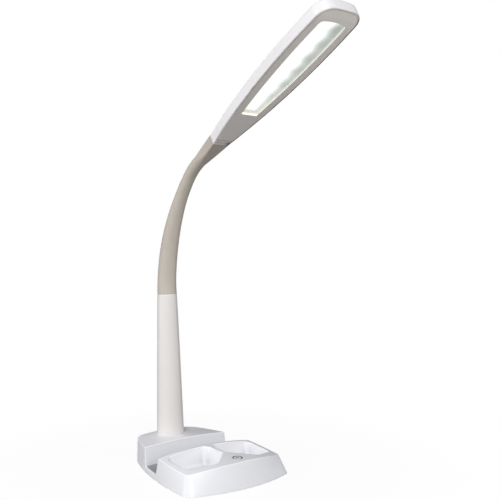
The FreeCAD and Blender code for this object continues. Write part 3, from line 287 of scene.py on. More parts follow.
def closed_piece(name, points, faces):
    """A mesh object from whole arrays. Its faces are turned outwards if the sum of the volumes between
    each face and the origin is negative."""
    a, b, c, d = (points[faces[:, k]] for k in range(4))
    volume = np.einsum("ij,ij->", a, np.cross(b, c)) + np.einsum("ij,ij->", a, np.cross(c, d))
    if volume < 0:
        faces = faces[:, ::-1]
    mesh = bpy.data.meshes.new(name)
    mesh.vertices.add(len(points))
    mesh.vertices.foreach_set("co", points.astype(np.float32).ravel())
    mesh.loops.add(faces.size)
    mesh.loops.foreach_set("vertex_index", faces.astype(np.int32).ravel())
    mesh.polygons.add(len(faces))
    mesh.polygons.foreach_set("loop_start", np.arange(0, faces.size, 4, dtype=np.int32))
    mesh.polygons.foreach_set("use_smooth", np.ones(len(faces), bool))
    mesh.update(calc_edges=True)
    mesh.validate()
    mesh.set_sharp_from_angle(angle=SHARP_ANGLE)
    piece = bpy.data.objects.new(name, mesh)
    bpy.context.scene.collection.objects.link(piece)
    return piece


def sleeve_piece(sizes, line, name, start, end, round_start, round_end):
    """A length of the sleeve as one closed wall: an outer and an inner skin, joined by a flat ring at
    each end. A rounded end follows a quarter circle of the lip's radius."""
    curve = np.linspace(0, math.pi / 2, LIP_RINGS + 1)[:-1]
    lip_at = sizes.lip * (1 - np.cos(curve))
    lip_in = sizes.lip * (1 - np.sin(curve))
    low = start + sizes.lip if round_start else start
    high = end - sizes.lip if round_end else end
    at = np.linspace(low, high, max(2, int(round((high - low) / RING_STEP)) + 1))
    inset = np.zeros(len(at))
    if round_start:
        at = np.concatenate([start + lip_at, at])
        inset = np.concatenate([lip_in, inset])
    if round_end:
        at = np.concatenate([at, end - lip_at[::-1]])
        inset = np.concatenate([inset, lip_in[::-1]])
    outer = rings(sizes, line, at, inset)
    inner = rings(sizes, line, at, sizes.skin)
    rows, columns = outer.shape[:2]
    count = rows * columns
    points = np.concatenate([outer.reshape(-1, 3), inner.reshape(-1, 3)])
    here = np.arange(columns)
    after = (here + 1) % columns
    last = (rows - 1) * columns
    near_end = np.stack([here, here + count, after + count, after], 1)
    far_end = np.stack([here, after, after + count, here + count], 1) + last
    faces = np.concatenate([grid_faces(rows, columns), grid_faces(rows, columns, count)[:, ::-1],
                            near_end, far_end])
    return closed_piece(name, points, faces)


# Shader nodes


def feed(tree, socket, value):
    """Links a socket that is given as the value, or sets a plain value."""
    if isinstance(value, bpy.types.NodeSocket):
        tree.links.new(value, socket)
    else:
        socket.default_value = value


def feed_named(tree, item, inputs):
    for name, value in inputs.items():
        feed(tree, item.inputs[name.replace("_", " ")], value)


def add_node(tree, kind, **inputs):
    """Adds a shader node and feeds its inputs by name."""
    item = tree.nodes.new(kind)
    feed_named(tree, item, inputs)
    return item


def use_group(tree, group, **inputs):
    item = tree.nodes.new("ShaderNodeGroup")
    item.node_tree = group
    feed_named(tree, item, inputs)
    return item


def object_place(tree):
    return tree.nodes.new("ShaderNodeTexCoord").outputs["Object"]


def split(tree, place):
    """The X, Y and Z of a place."""
    return add_node(tree, "ShaderNodeSeparateXYZ", Vector=place).outputs


def add_math(tree, operation, first, second=0.0):
    item = tree.nodes.new("ShaderNodeMath")
    item.operation = operation
    feed(tree, item.inputs[0], first)
    feed(tree, item.inputs[1], second)
    return item.outputs[0]


def scaled(tree, colour, level):
    """A colour times a number."""
    item = tree.nodes.new("ShaderNodeVectorMath")
    item.operation = "SCALE"
    feed(tree, item.inputs[0], colour)
    feed(tree, item.inputs["Scale"], level)
    return item.outputs[0]


def total(tree, first, *others):
    for other in others:
        first = add_math(tree, "ADD", first, other)
    return first


def product(tree, first, *others):
    for other in others:
        first = add_math(tree, "MULTIPLY", first, other)
    return first


def add_mix(tree, share, first, second):
    """A colour between two colours."""
    item = tree.nodes.new("ShaderNodeMix")
    item.data_type = "RGBA"
    for index, value in ((0, share), (6, first), (7, second)):
        feed(tree, item.inputs[index], value)
    return item.outputs[2]


def add_range(tree, value, low, high, to_low, to_high):
    """Runs smoothly from to_low, where the value is low, to to_high, where it is high."""
    item = tree.nodes.new("ShaderNodeMapRange")
    item.interpolation_type = "SMOOTHSTEP"
    for index, number in enumerate((value, low, high, to_low, to_high)):
        feed(tree, item.inputs[index], number)
    return item.outputs[0]


def fade(tree, value, none, full, top=1.0):
    """A mask that is 0 where the value is none, top where it is full, and smooth in between."""
    return add_range(tree, value, none, full, 0.0, top)


def add_ramp(tree, value, stops):
    """A colour ramp with the given places and colours."""
    item = add_node(tree, "ShaderNodeValToRGB", Fac=value)
    elements = item.color_ramp.elements
    while len(elements) < len(stops):
        elements.new(1.0)
    for element, (place, colour) in zip(elements, stops):
        element.position = place
        element.color = rgba(colour)
    return item.outputs[0]


def add_noise(tree, place, scale, detail=2.0, roughness=0.5):
    """A noise value of about a half. Its scale is in patches per metre."""
    return add_node(tree, "ShaderNodeTexNoise", Vector=place, Scale=scale, Detail=detail,
                    Roughness=roughness).outputs[0]


def add_cells(tree, place, scale):
    return add_node(tree, "ShaderNodeTexVoronoi", Vector=place, Scale=scale)


def sway(tree, noise, size):
    """A noise value, moved so that it sways about 0, times a size."""
    return product(tree, add_math(tree, "SUBTRACT", noise, 0.5), size)


def add_bevel(tree, radius, samples):
    """The normal of an edge rounded to a radius."""
    item = add_node(tree, "ShaderNodeBevel", Radius=radius)
    item.samples = samples
    return item.outputs["Normal"]


def add_bump(tree, height, strength, distance, **inputs):
    return add_node(tree, "ShaderNodeBump", Height=height, Strength=strength, Distance=distance,
                    **inputs).outputs[0]


def radial(tree, place, centre, axes):
    """Distance from a centre, measured along two of the three axes."""
    parts = split(tree, place)
    gaps = [add_math(tree, "SUBTRACT", parts[axis], middle) for axis, middle in zip(axes, centre)]
    return add_math(tree, "SQRT", total(tree, *(product(tree, gap, gap) for gap in gaps)))


def rgba(colour, factor=1.0):
    return (*(min(1.0, channel * factor) for channel in colour), 1.0)


def new_group(name, inputs, outputs):
    """A shader node group with the given inputs and outputs."""
    group = bpy.data.node_groups.new(name, "ShaderNodeTree")
    for title, kind, value in inputs:
        socket = group.interface.new_socket(title, in_out="INPUT", socket_type="NodeSocket" + kind)
        socket.default_value = value
    for title, kind in outputs:
        group.interface.new_socket(title, in_out="OUTPUT", socket_type="NodeSocket" + kind)
    return group, group.nodes.new("NodeGroupInput").outputs, group.nodes.new("NodeGroupOutput")


def new_finish(name, specular=0.5, metallic=0.0):
    """A material with one Principled shader."""
    material = bpy.data.materials.new(name)
    material.use_nodes = True
    tree = material.node_tree
    tree.nodes.clear()
    shader = add_node(tree, "ShaderNodeBsdfPrincipled", Specular_IOR_Level=specular, Metallic=metallic)
    add_node(tree, "ShaderNodeOutputMaterial", Surface=shader.outputs[0])
    return material, tree, shader


# Finishes

SURFACE_OUTPUTS = (("Color", "Color"), ("Roughness", "Float"), ("Normal", "Vector"))

# Touch spot: shares of the reach from its middle, and colours
DARK_PRINT = (0.015, 0.015, 0.016)
RING_REACH, RING_TONES = 0.007, (
    (0.0, DARK_PRINT), (0.83, DARK_PRINT), (0.85, (0.6, 0.6, 0.62)), (0.87, (0.76, 0.765, 0.80)))
CAP_REACH, CAP_TONES = 0.005, (
    (0.0, (0.66, 0.66, 0.68)), (0.16, (0.62, 0.62, 0.64)), (0.22, (0.13, 0.13, 0.135)),
    (0.38, (0.13, 0.13, 0.135)), (0.45, (0.92, 0.92, 0.94)), (0.84, (0.94, 0.94, 0.96)),
    (0.89, DARK_PRINT))

# Lens: its half width grows from the near end by this power of what is left of its length
LENS_TAPER = 3.5
# The lens' tones below are a painted reflection: lit on its left, falling to grey green painted shade on its
# right
# The border's place at the two ends and the width over which the tones fall, in half widths
BORDER_NEAR, BORDER_FAR, BORDER_LEAD, FALL = 0.45, 0.26, 0.16, 0.8
# The border's wave: its length and first crest in shares of the lens' length, and its sizes
WAVE_LENGTH, WAVE_CREST, WAVE_START, WAVE_FULL, WAVE_LEAST, WAVE_MOST = 0.14, 0.15, 0.15, 0.4, 0.02, 0.09
WANDER = 0.25
# Tones along the fall, between the lit colour and the shade
FALL_TONES = ((0.16, (0.82, 0.85, 0.835)), (0.34, (0.63, 0.675, 0.645)), (0.56, (0.49, 0.53, 0.50)))
# Painted tones of the reflection: paler at the near end's right, darker at the tip, olive at the near end
PALE_TONE, TIP_TONE, NEAR_TONE = (0.67, 0.69, 0.625), (0.335, 0.365, 0.345), (0.55, 0.56, 0.48)

# The head's outline: half width at the neck, and its growth along the head and along it squared
OUTLINE_START, OUTLINE_GROWTH, OUTLINE_CURVE = 0.0111, 0.2113, 0.639


def moulded_group():
    """Moulded surface: slow tone drift, a fine grain, a painted highlight on its rounded edge and painted
    shade in its hollows.
    """
    name = "moulded_surface"
    if name in bpy.data.node_groups:
        return bpy.data.node_groups[name]
    group, given, leave = new_group(name, (
        ("Tone", "Color", (0.8, 0.8, 0.8, 1.0)), ("Drift", "Float", 0.02), ("Roughness", "Float", 0.4),
        ("Grain Scale", "Float", 1800.0), ("Grain Depth", "Float", 0.00003),
        ("Edge Radius", "Float", 0.0008), ("Edge Light", "Float", 0.1), ("Shade", "Float", 0.3),
        ("Shade Reach", "Float", 0.006)), SURFACE_OUTPUTS)
    place = object_place(group)
    slow = add_noise(group, place, scale=22.0, detail=3.0, roughness=0.55)
    patch = add_noise(group, place, scale=120.0, detail=4.0, roughness=0.6)
    grain = add_noise(group, place, scale=given["Grain Scale"])
    rounded = add_bevel(group, radius=given["Edge Radius"], samples=6)
    flat = group.nodes.new("ShaderNodeNewGeometry").outputs["Normal"]
    facing = group.nodes.new("ShaderNodeVectorMath")
    facing.operation = "DOT_PRODUCT"
    feed(group, facing.inputs[0], rounded)
    feed(group, facing.inputs[1], flat)
    edge = fade(group, facing.outputs["Value"], none=1.0, full=0.9)
    nook = add_node(group, "ShaderNodeAmbientOcclusion", Distance=given["Shade Reach"])
    nook.samples = 8
    nook.only_local = True
    # Painted shade: the colour is darkened where the surface lies in a hollow
    painted_hollow_shade = fade(group, nook.outputs["AO"], none=0.72, full=0.2)
    speck_size = product(group, given["Drift"], 0.6)
    # Painted highlight: the colour is lightened along rounded edges, or darkened where Edge Light is below 0
    painted_edge_highlight = product(group, edge, given["Edge Light"])
    light = add_math(group, "SUBTRACT", painted_edge_highlight, product(group, painted_hollow_shade, given["Shade"]))
    level = total(group, sway(group, slow, given["Drift"]), sway(group, patch, speck_size), light, 1.0)
    rough = total(group, given["Roughness"], sway(group, patch, 0.12), product(group, edge, -0.06))
    feed_named(group, leave, {
        "Color": scaled(group, given["Tone"], level), "Roughness": rough,
        "Normal": add_bump(group, grain, strength=0.5, distance=given["Grain Depth"], Normal=rounded)})
    return group


def metal_group():
    """Machined or plated metal: fine lines round the piece, small stains and a rounded edge."""
    name = "machined_surface"
    if name in bpy.data.node_groups:
        return bpy.data.node_groups[name]
    group, given, leave = new_group(name, (
        ("Tone", "Color", (0.6, 0.6, 0.6, 1.0)), ("Line Scale", "Float", 900.0),
        ("Roughness", "Float", 0.35), ("Stain", "Float", 0.15)), SURFACE_OUTPUTS)
    place = object_place(group)
    stretch = add_node(group, "ShaderNodeMapping", Vector=place, Scale=(0.05, 0.05, 1.0)).outputs[0]
    lines = add_noise(group, stretch, scale=given["Line Scale"], detail=4.0, roughness=0.7)
    stain = add_noise(group, place, scale=70.0, detail=5.0, roughness=0.65)
    mask = fade(group, stain, none=0.45, full=0.75, top=given["Stain"])
    level = add_math(group, "SUBTRACT", total(group, product(group, lines, 0.2), 0.9), mask)
    rounded = add_bevel(group, radius=0.0003, samples=4)
    feed_named(group, leave, {
        "Color": scaled(group, given["Tone"], level),
        "Roughness": total(group, given["Roughness"], product(group, lines, 0.15)),
        "Normal": add_bump(group, lines, strength=0.4, distance=0.00002, Normal=rounded)})
    return group


def lay_surface(tree, surface, shader):
    """Feeds a group's colour, roughness and normal to the shader."""
    for title, target in (("Color", "Base Color"), ("Roughness", "Roughness"), ("Normal", "Normal")):
        tree.links.new(surface.outputs[title], shader.inputs[target])


# Every moulded finish paints a highlight on its rounded edges (a painted dark line where the edge light is
# below 0) and paints shade into its hollows
def moulded_finish(name, tone, roughness=0.4, drift=0.02, edge=0.0008, painted_edge_light=0.1, grain=1800.0,
                   depth=0.00003, specular=0.5, shade=0.3, reach=0.006):
    material, tree, shader = new_finish(name, specular)
    surface = use_group(tree, moulded_group(), Tone=rgba(tone), Drift=drift, Roughness=roughness,
                        Edge_Radius=edge, Edge_Light=painted_edge_light, Grain_Scale=grain, Grain_Depth=depth,
                        Shade=shade, Shade_Reach=reach)
    lay_surface(tree, surface, shader)
    return material, tree, shader, surface


def metal_finish(name, tone, roughness, scale=900.0, stain=0.15):
    material, tree, shader = new_finish(name, metallic=1.0)
    lay_surface(tree, use_group(tree, metal_group(), Tone=rgba(tone), Line_Scale=scale,
                                Roughness=roughness, Stain=stain), shader)
    return material


def sleeve_finish(tone):
    """Soft-touch skin: matt, finely mottled, with a faint sheen."""
    material, tree, shader, _ = moulded_finish(
        "sleeve_taupe", tone, roughness=0.6, drift=0.09, edge=0.0003, painted_edge_light=0.05, grain=2600.0,
        depth=0.00004, specular=0.3)
    feed_named(tree, shader, {"Sheen Weight": 0.04, "Sheen Roughness": 0.5})
    return material


def touch_finish(name, far, stops, roughness):
    """Concentric printed rings round the touch spot's middle, out to the distance far."""
    low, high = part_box("touch_ring")
    centre = [(low[0] + high[0]) / 2, (low[1] + high[1]) / 2]
    material, tree, shader = new_finish(name)
    place = object_place(tree)
    fine = add_noise(tree, place, scale=1500.0, detail=3.0)
    reach = total(tree, product(tree, radial(tree, place, centre, "XY"), 1 / far),
                  product(tree, fine, 0.01))
    feed_named(tree, shader, {
        "Base Color": add_ramp(tree, reach, stops),
        "Roughness": add_range(tree, fine, 0.3, 0.7, roughness, roughness + 0.1),
        "Normal": add_bump(tree, fine, strength=0.2, distance=0.00002)})
    return material


def head_place(tree):
    """Object coordinates turned and moved into the head: X across, -Y towards the tip, Z up through it."""
    sizes = bpy.context.scene.lamp_sleeve
    _, y, z, _ = neck_line(sizes)
    turn = sizes.head_direction
    under = np.array([y[-1] - sizes.mouth_half_height * math.sin(turn),
                      z[-1] - sizes.mouth_half_height * math.cos(turn)])
    shift_y = under[0] * math.cos(turn) - under[1] * math.sin(turn)
    shift_z = under[0] * math.sin(turn) + under[1] * math.cos(turn)
    return add_node(tree, "ShaderNodeMapping", Vector=object_place(tree), Rotation=(turn, 0.0, 0.0),
                    Location=(0.0, -shift_y, -shift_z)).outputs[0]


def lens_finish(lit, shade):
    """Frosted light panel with a painted reflection, shown through both its colour and its glow: it is lit
    on its left, and beyond a soft border it falls to grey green painted shade on its right. The border
    waves along the lens at a steady spacing. How far along and across a point lies is worked out from the
    head's own axes."""
    material, tree, shader = new_finish("lens_white")
    place = head_place(tree)
    places = bpy.context.scene.lamp_lens
    x, y, _ = split(tree, place)
    along = product(tree, total(tree, y, places.near), 1 / (places.near - places.far))
    left = add_math(tree, "MAXIMUM", add_math(tree, "SUBTRACT", 1.0, along), 0.0)
    narrowed = product(tree, add_math(tree, "POWER", left, LENS_TAPER), places.far_half - places.near_half)
    across = add_math(tree, "DIVIDE", x, add_math(tree, "SUBTRACT", places.far_half, narrowed))
    turn = product(tree, add_math(tree, "SUBTRACT", along, WAVE_CREST), 2 * math.pi / WAVE_LENGTH)
    size = add_range(tree, along, WAVE_START, WAVE_FULL, WAVE_LEAST, WAVE_MOST)
    border = total(tree, add_range(tree, along, 0.0, 1.0, BORDER_NEAR, BORDER_FAR),
                   product(tree, add_math(tree, "COSINE", turn), size),
                   sway(tree, add_noise(tree, place, scale=60.0, roughness=0.45), WANDER))
    depth = product(tree, total(tree, add_math(tree, "SUBTRACT", across, border), BORDER_LEAD), 1 / FALL)
    colour = add_ramp(tree, depth, ((0.0, lit), *FALL_TONES, (1.0, shade)))
    # Painted reflection and shade: paler on the right near the neck, darker at the tip and at the near end
    pale = product(tree, fade(tree, depth, none=0.1, full=0.4),
                   fade(tree, along, none=0.4, full=0.1, top=0.45))
    colour = add_mix(tree, pale, colour, rgba(PALE_TONE))
    tip = product(tree, fade(tree, depth, none=0.4, full=0.9),
                  fade(tree, along, none=0.7, full=1.0, top=0.6))
    colour = add_mix(tree, tip, colour, rgba(TIP_TONE))
    colour = add_mix(tree, fade(tree, along, none=0.06, full=0.02), colour, rgba(NEAR_TONE))
    frost = add_noise(tree, place, scale=2400.0)
    feed_named(tree, shader, {
        "Base Color": colour, "Emission Color": colour, "Emission Strength": 0.68,
        "Roughness": add_range(tree, frost, 0.3, 0.7, 0.3, 0.4),
        "Normal": add_bump(tree, frost, strength=0.3, distance=0.00002)})
    return material


def underside_grooves(tree, y, z):
    """A mask of the two fine grooves across the head's underside, near the neck."""
    places = bpy.context.scene.lamp_lens
    lines = [fade(tree, add_math(tree, "ABSOLUTE", total(tree, y, groove)), none=0.0006, full=0.0002)
             for groove in (places.first_groove, places.second_groove)]
    return product(tree, add_math(tree, "MAXIMUM", *lines),
                   fade(tree, z, none=0.0008, full=0.0004, top=0.8))


def edge_gap(tree, x, y, side):
    """How far a point of the head's underside lies inside the head's outline, on its left (-1) or right
    (1) side. The outline's half width is its start, plus its growth times the distance along the head,
    less its curve times that distance squared."""
    along = product(tree, y, -1.0)
    slope = add_math(tree, "SUBTRACT", OUTLINE_GROWTH, product(tree, along, OUTLINE_CURVE))
    half = total(tree, product(tree, slope, along), OUTLINE_START)
    return add_math(tree, "SUBTRACT", half, product(tree, x, side))


def cover_finish(colours):
    """Head cover: moulded white, with painted light that makes it lighter near the neck and darker towards
    the tip. Its underside is as the panel's, with fine grooves near the neck and a dark seam on the right."""
    material, tree, shader, surface = moulded_finish(
        "head_white", colours.head, roughness=0.36, edge=0.0008, painted_edge_light=0.08, depth=0.00001)
    x, y, z = split(tree, head_place(tree))
    # Painted light and shade: the white is lighter near the neck and darker towards the tip
    tone = add_mix(tree, fade(tree, y, none=-0.02, full=-0.2), rgba(colours.head, 1.16),
                   rgba(colours.head, 0.95))
    feed(tree, surface.inputs["Tone"], tone)
    under = fade(tree, z, none=0.0006, full=0.0002)
    colour = add_mix(tree, under, surface.outputs["Color"], rgba(colours.panel, 0.93))
    seam = product(tree, fade(tree, z, none=0.0012, full=0.0004, top=0.92),
                   fade(tree, x, none=0.002, full=0.010), fade(tree, y, none=-0.221, full=-0.212))
    colour = add_mix(tree, seam, colour, rgba(colours.seam))
    colour = add_mix(tree, underside_grooves(tree, y, z), colour, rgba(colours.groove))
    feed(tree, shader.inputs["Base Color"], colour)
    return material


def panel_finish(colours):
    """Underside panel: matt white with painted light that pales it towards the tip, and a painted dark line
    along its edges. The walls of the lens' recess glow with painted light, most of all at its near end, the
    tip glows with a little painted light, and a painted highlight runs along its left near the neck."""
    # Painted shade: a dark line along the panel's rounded edges, from an edge light below 0
    material, tree, shader, surface = moulded_finish(
        "panel_white", colours.panel, roughness=0.5, edge=0.0008, painted_edge_light=-0.3, drift=0.03)
    x, y, z = split(tree, head_place(tree))
    # Painted light: the panel pales towards the tip
    colour = add_mix(tree, fade(tree, y, none=-0.02, full=-0.22), rgba(colours.panel, 0.93),
                     rgba(colours.panel, 1.14))
    seam = product(tree, fade(tree, edge_gap(tree, x, y, 1.0), none=0.0025, full=0.0017, top=0.8),
                   fade(tree, y, none=-0.212, full=-0.2))
    colour = add_mix(tree, seam, colour, rgba(colours.seam))
    # Painted highlight: a bright line along the panel's left, near the neck
    left = edge_gap(tree, x, y, -1.0)
    line = product(tree, fade(tree, left, none=0.0031, full=0.0035),
                   fade(tree, left, none=0.0044, full=0.0040),
                   fade(tree, y, none=-0.022, full=-0.018, top=0.7),
                   fade(tree, y, none=-0.0088, full=-0.0096))
    colour = add_mix(tree, line, colour, rgba(colours.painted_left_highlight))
    colour = add_mix(tree, underside_grooves(tree, y, z), colour, rgba(colours.groove))
    near = bpy.context.scene.lamp_lens.near
    # Painted light: the recess walls glow, most of all at the near end, and the tip glows a little
    strength = add_range(tree, y, -near - 0.0012, -near - 0.0004, 0.36, 1.0)
    wall = product(tree, fade(tree, z, none=0.0002, full=0.0004), strength)
    painted_tip_light = fade(tree, y, none=-0.198, full=-0.217, top=0.075)
    glow = add_mix(tree, add_math(tree, "MAXIMUM", wall, painted_tip_light), rgba((0.0,) * 3), rgba(colours.glow))
    feed(tree, surface.inputs["Tone"], colour)
    feed_named(tree, shader, {"Emission Color": glow, "Emission Strength": 0.8})
    return material


def board_finish(name, face, track, pad, roughness):
    """Circuit board: a coated face over a maze of tracks, with small pale pads."""
    material, tree, shader = new_finish(name)
    place = object_place(tree)
    maze = add_cells(tree, place, scale=260.0)
    maze.feature = "DISTANCE_TO_EDGE"
    tracks = fade(tree, maze.outputs["Distance"], none=0.10, full=0.06)
    pads = fade(tree, add_cells(tree, place, scale=420.0).outputs[0], none=0.20, full=0.16)
    colour = add_mix(tree, tracks, rgba(face), rgba(track))
    feed_named(tree, shader, {
        "Base Color": add_mix(tree, pads, colour, rgba(pad)),
        "Roughness": add_range(tree, pads, 0.0, 1.0, roughness, 0.25),
        "Normal": add_bump(tree, tracks, strength=0.3, distance=0.00005)})
    return material


def chip_finish(tone, grain_tone):
    """Light chip: a yellow phosphor patch with fine grains."""
    material, tree, shader = new_finish("led_yellow")
    grains = add_cells(tree, object_place(tree), scale=5200.0).outputs[0]
    colour = add_mix(tree, grains, rgba(tone), rgba(grain_tone))
    feed_named(tree, shader, {
        "Base Color": colour, "Emission Color": colour, "Emission Strength": 0.8,
        "Roughness": add_range(tree, grains, 0.0, 0.6, 0.35, 0.55),
        "Normal": add_bump(tree, grains, strength=0.3, distance=0.00002)})
    return material


def inlet_finish(tone, pin_tone):
    """Power inlet: black moulding with a bright pin on its axis."""
    low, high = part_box("power_jack")
    centre = [(low[0] + high[0]) / 2, (low[2] + high[2]) / 2]
    # The inlet's moulding gets a painted highlight on its edges
    material, tree, shader, surface = moulded_finish(
        "jack_black", tone, roughness=0.42, drift=0.15, edge=0.0003, painted_edge_light=0.4)
    pin = fade(tree, radial(tree, object_place(tree), centre, "XZ"), none=0.0012, full=0.0011)
    colour = add_mix(tree, pin, surface.outputs["Color"], rgba(pin_tone))
    feed_named(tree, shader, {"Base Color": colour, "Metallic": pin})
    return material


def dress(material, *nodes):
    """Gives CAD nodes a finish."""
    for name in nodes:
        item = frame["nodes"][name]
        if not item.material_slots:
            item.data.materials.append(material)
        for slot in item.material_slots:
            slot.material = material


# Operators


class LAMP_OT_neck_sleeve(bpy.types.Operator):
    """Build the soft sleeve of the neck, one length for each joint"""

    bl_idname = "lamp.neck_sleeve"
    bl_label = "Neck sleeve"

    def execute(self, context):
        sizes = context.scene.lamp_sleeve
        line = neck_line(sizes)
        joints, _, mouth = neck_lengths(sizes)
        material = sleeve_finish(context.scene.lamp_colours.sleeve)
        count = len(NECK_JOINTS)
        for index, joint in enumerate(NECK_JOINTS):
            start = 0.0 if index == 0 else joints[index] - sizes.spacing / 2
            end = mouth if index == count - 1 else joints[index] + sizes.spacing / 2
            piece = sleeve_piece(sizes, line, "sleeve_length_%d" % (index + 1), start, end,
                                 index == 0, index == count - 1)
            piece.data.materials.append(material)
            stands_for = ["neck_sleeve_%d" % index]
            if index == count - 1:
                stands_for.append("neck_end_sleeve")
            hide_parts(*stands_for)
            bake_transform(piece)
        return {"FINISHED"}


class LAMP_OT_shell_finish(bpy.types.Operator):
    """Finish the white mouldings: base, bottom plate, post and head cover"""

    bl_idname = "lamp.shell_finish"
    bl_label = "White mouldings"

    def execute(self, context):
        colours = context.scene.lamp_colours
        # The base gets a strong painted highlight on its edges and painted shade in its slot, wells and
        # corners; the post gets a painted highlight on its edges
        dress(moulded_finish("shell_white", colours.shell, roughness=0.42, edge=0.0014, painted_edge_light=0.42,
                             shade=0.42, reach=0.042)[0], "base_shell", "bottom_plate")
        dress(moulded_finish("post_white", colours.post, roughness=0.36, edge=0.0010, painted_edge_light=0.5)[0],
              "post")
        dress(cover_finish(colours), "head_cover")
        return {"FINISHED"}


class LAMP_OT_light_finish(bpy.types.Operator):
    """Finish the underside panel, the lens and what lies behind it"""

    bl_idname = "lamp.light_finish"
    bl_label = "Panel and lens"

    def execute(self, context):
        colours = context.scene.lamp_colours
        dress(panel_finish(colours), "head_panel")
        dress(moulded_finish("reflector_white", colours.reflector, roughness=0.3, edge=0.0003)[0],
              "reflector")
        dress(lens_finish(colours.lens_painted_light, colours.lens_painted_shade), "lens")
        dress(board_finish("board_metal", colours.light_board, colours.light_track, colours.pads,
                           roughness=0.4), "led_board")
        dress(chip_finish(colours.phosphor, colours.phosphor_grain), "led_chips")
        return {"FINISHED"}


class LAMP_OT_trim_finish(bpy.types.Operator):
    """Finish the touch button, the slot pad, the feet and the power inlet"""

    bl_idname = "lamp.trim_finish"
    bl_label = "Touch button and trim"

    def execute(self, context):
        colours = context.scene.lamp_colours
        dress(touch_finish("touch_dark", RING_REACH, RING_TONES, roughness=0.25), "touch_ring")
        dress(touch_finish("touch_light", CAP_REACH, CAP_TONES, roughness=0.2), "touch_cap")
        dress(moulded_finish("pad_grey", colours.slot_pad, roughness=0.7, drift=0.12, edge=0.0003,
                             grain=1200.0, depth=0.0001, specular=0.3)[0], "slot_pad")
        # The feet get a painted highlight on their edges
        dress(moulded_finish("rubber_dark", colours.rubber, roughness=0.75, drift=0.2, edge=0.0005,
                             painted_edge_light=0.5, grain=900.0, depth=0.00012, specular=0.3)[0], "rubber_feet")
        dress(inlet_finish(colours.inlet, colours.pin), "power_jack")
        return {"FINISHED"}


class LAMP_OT_inner_finish(bpy.types.Operator):
    """Finish the metal pieces and the circuit boards inside the lamp"""

    bl_idname = "lamp.inner_finish"
    bl_label = "Inner pieces"

    def execute(self, context):
        colours = context.scene.lamp_colours
        dress(metal_finish("steel", colours.steel, roughness=0.38), "base_screws", "ballast_plate",
              "post_bracket", "post_screws", "tang_screws", "board_screws")
        links = ["neck_link_%d" % number for number in range(1, len(NECK_JOINTS))]
        dress(metal_finish("link_metal", colours.links, roughness=0.28, scale=1400.0, stain=0.06),
              "neck_socket", "neck_end_core", *links)
        dress(board_finish("board_green", colours.board, colours.board_track, colours.pads,
                           roughness=0.35), "driver_board", "touch_board")
        return {"FINISHED"}


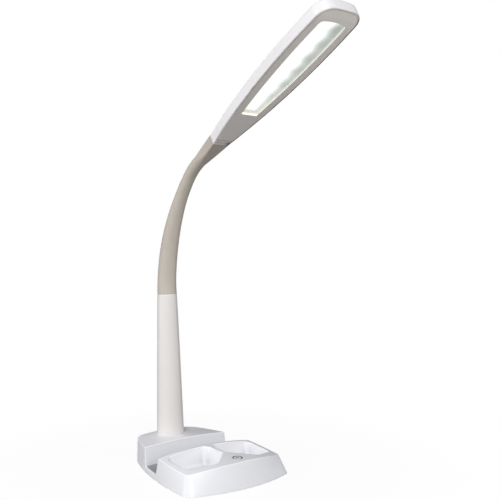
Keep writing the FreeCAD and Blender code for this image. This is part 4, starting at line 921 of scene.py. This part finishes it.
class LAMP_OT_studio(bpy.types.Operator):
    """Set up the floor, the lights, the even sky and the camera"""

    bl_idname = "lamp.studio"
    bl_label = "Studio"

    def execute(self, context):
        studio = context.scene.lamp_studio
        self.floor(studio)
        self.sky(context.scene, studio)
        self.lamp("front_light", studio, studio.front_power, 0.0, studio.front_rise)
        self.lamp("left_light", studio, studio.left_power, studio.left_swing, studio.left_rise)
        self.lamp("right_light", studio, studio.right_power, -studio.right_swing, studio.right_rise)
        self.camera(context.scene, studio)
        context.scene.view_settings.view_transform = "Standard"
        return {"FINISHED"}

    @staticmethod
    def seen_directly(tree):
        """1 for rays that show the background: from the camera or through glass."""
        path = tree.nodes.new("ShaderNodeLightPath").outputs
        return add_math(tree, "MAXIMUM", path["Is Camera Ray"], path["Is Transmission Ray"])

    def floor(self, studio):
        half = studio.floor_half
        mesh = bpy.data.meshes.new("floor")
        mesh.from_pydata([(-half, -half, 0), (half, -half, 0), (half, half, 0), (-half, half, 0)],
                         [], [(0, 1, 2, 3)])
        floor = bpy.data.objects.new("floor", mesh)
        bpy.context.scene.collection.objects.link(floor)
        material = bpy.data.materials.new("floor_white")
        material.use_nodes = True
        tree = material.node_tree
        tree.nodes.clear()
        seen = self.seen_directly(tree)
        tone = add_mix(tree, seen, rgba((studio.floor_bounce,) * 3), rgba((studio.floor_tone,) * 3))
        plain = add_node(tree, "ShaderNodeBsdfDiffuse", Color=tone)
        bright = add_node(tree, "ShaderNodeEmission", Color=rgba((1.0,) * 3), Strength=1.0)
        away = radial(tree, object_place(tree), (0.0, 0.0), "XY")
        share = add_range(tree, away, studio.floor_near, studio.floor_far, studio.floor_glow, 1.0)
        mix = tree.nodes.new("ShaderNodeMixShader")
        for index, source in enumerate((product(tree, seen, share), plain.outputs[0], bright.outputs[0])):
            feed(tree, mix.inputs[index], source)
        add_node(tree, "ShaderNodeOutputMaterial", Surface=mix.outputs[0])
        mesh.materials.append(material)

    def sky(self, scene, studio):
        world = bpy.data.worlds.new("even_sky")
        scene.world = world
        world.use_nodes = True
        tree = world.node_tree
        tree.nodes.clear()
        strength = total(tree, product(tree, self.seen_directly(tree), 1.0 - studio.sky), studio.sky)
        sky = add_node(tree, "ShaderNodeBackground", Color=rgba((1.0,) * 3), Strength=strength)
        add_node(tree, "ShaderNodeOutputWorld", Surface=sky.outputs[0])

    def lamp(self, name, studio, power, swing, rise):
        """A square soft light. Swing and rise are its angles from the camera's side of the lamp,
        leftwards and upwards."""
        swing = studio.camera_azimuth + swing
        aim = Vector((0.0, 0.0, studio.light_aim))
        away = Vector((-math.sin(swing) * math.cos(rise), -math.cos(swing) * math.cos(rise),
                       math.sin(rise))) * studio.light_distance
        light = bpy.data.lights.new(name, "AREA")
        light.energy = power
        light.shape = "SQUARE"
        light.size = studio.light_width
        self.place(name, light, aim + away, -away)

    def camera(self, scene, studio):
        data = bpy.data.cameras.new("camera")
        data.sensor_width = 36.0
        data.lens = studio.focal_length
        data.clip_start = 0.01
        data.clip_end = 50.0
        azimuth, pitch = studio.camera_azimuth, studio.camera_pitch
        forward = Vector((math.sin(azimuth) * math.cos(pitch), math.cos(azimuth) * math.cos(pitch),
                          -math.sin(pitch)))
        scene.camera = self.place("camera", data, studio.camera_place, forward)

    @staticmethod
    def place(name, data, location, forward):
        """Stands a light or the camera at a place, looking forward."""
        item = bpy.data.objects.new(name, data)
        item.location = location
        item.rotation_mode = "QUATERNION"
        item.rotation_quaternion = forward.to_track_quat("-Z", "Y")
        bpy.context.scene.collection.objects.link(item)
        return item


class LAMP_PT_finish(bpy.types.Panel):
    """Lists the lamp's operators and settings"""

    bl_label = "Desk lamp"
    bl_idname = "LAMP_PT_finish"
    bl_space_type = "VIEW_3D"
    bl_region_type = "UI"
    bl_category = "Lamp"

    def draw(self, context):
        layout = self.layout
        for operator in OPERATORS:
            layout.operator(operator.bl_idname)
        for setting in SETTINGS:
            settings = getattr(context.scene, setting)
            box = layout.box()
            for name in settings.bl_rna.properties.keys():
                if name not in ("rna_type", "name"):
                    box.prop(settings, name)


SETTINGS = {"lamp_sleeve": LampSleeveSizes, "lamp_lens": LampLensPlaces, "lamp_colours": LampColours,
            "lamp_studio": LampStudio}
OPERATORS = (LAMP_OT_neck_sleeve, LAMP_OT_shell_finish, LAMP_OT_light_finish, LAMP_OT_trim_finish,
             LAMP_OT_inner_finish, LAMP_OT_studio)
CLASSES = (*SETTINGS.values(), *OPERATORS, LAMP_PT_finish)


def register():
    for item in CLASSES:
        bpy.utils.register_class(item)
    for name, group in SETTINGS.items():
        setattr(bpy.types.Scene, name, bpy.props.PointerProperty(type=group))


def unregister():
    for name in SETTINGS:
        delattr(bpy.types.Scene, name)
    for item in reversed(CLASSES):
        bpy.utils.unregister_class(item)


def main():
    register()
    bpy.ops.lamp.neck_sleeve()
    bpy.ops.lamp.shell_finish()
    bpy.ops.lamp.light_finish()
    bpy.ops.lamp.trim_finish()
    bpy.ops.lamp.inner_finish()
    bpy.ops.lamp.studio()


if __name__ == "__main__":
    main()
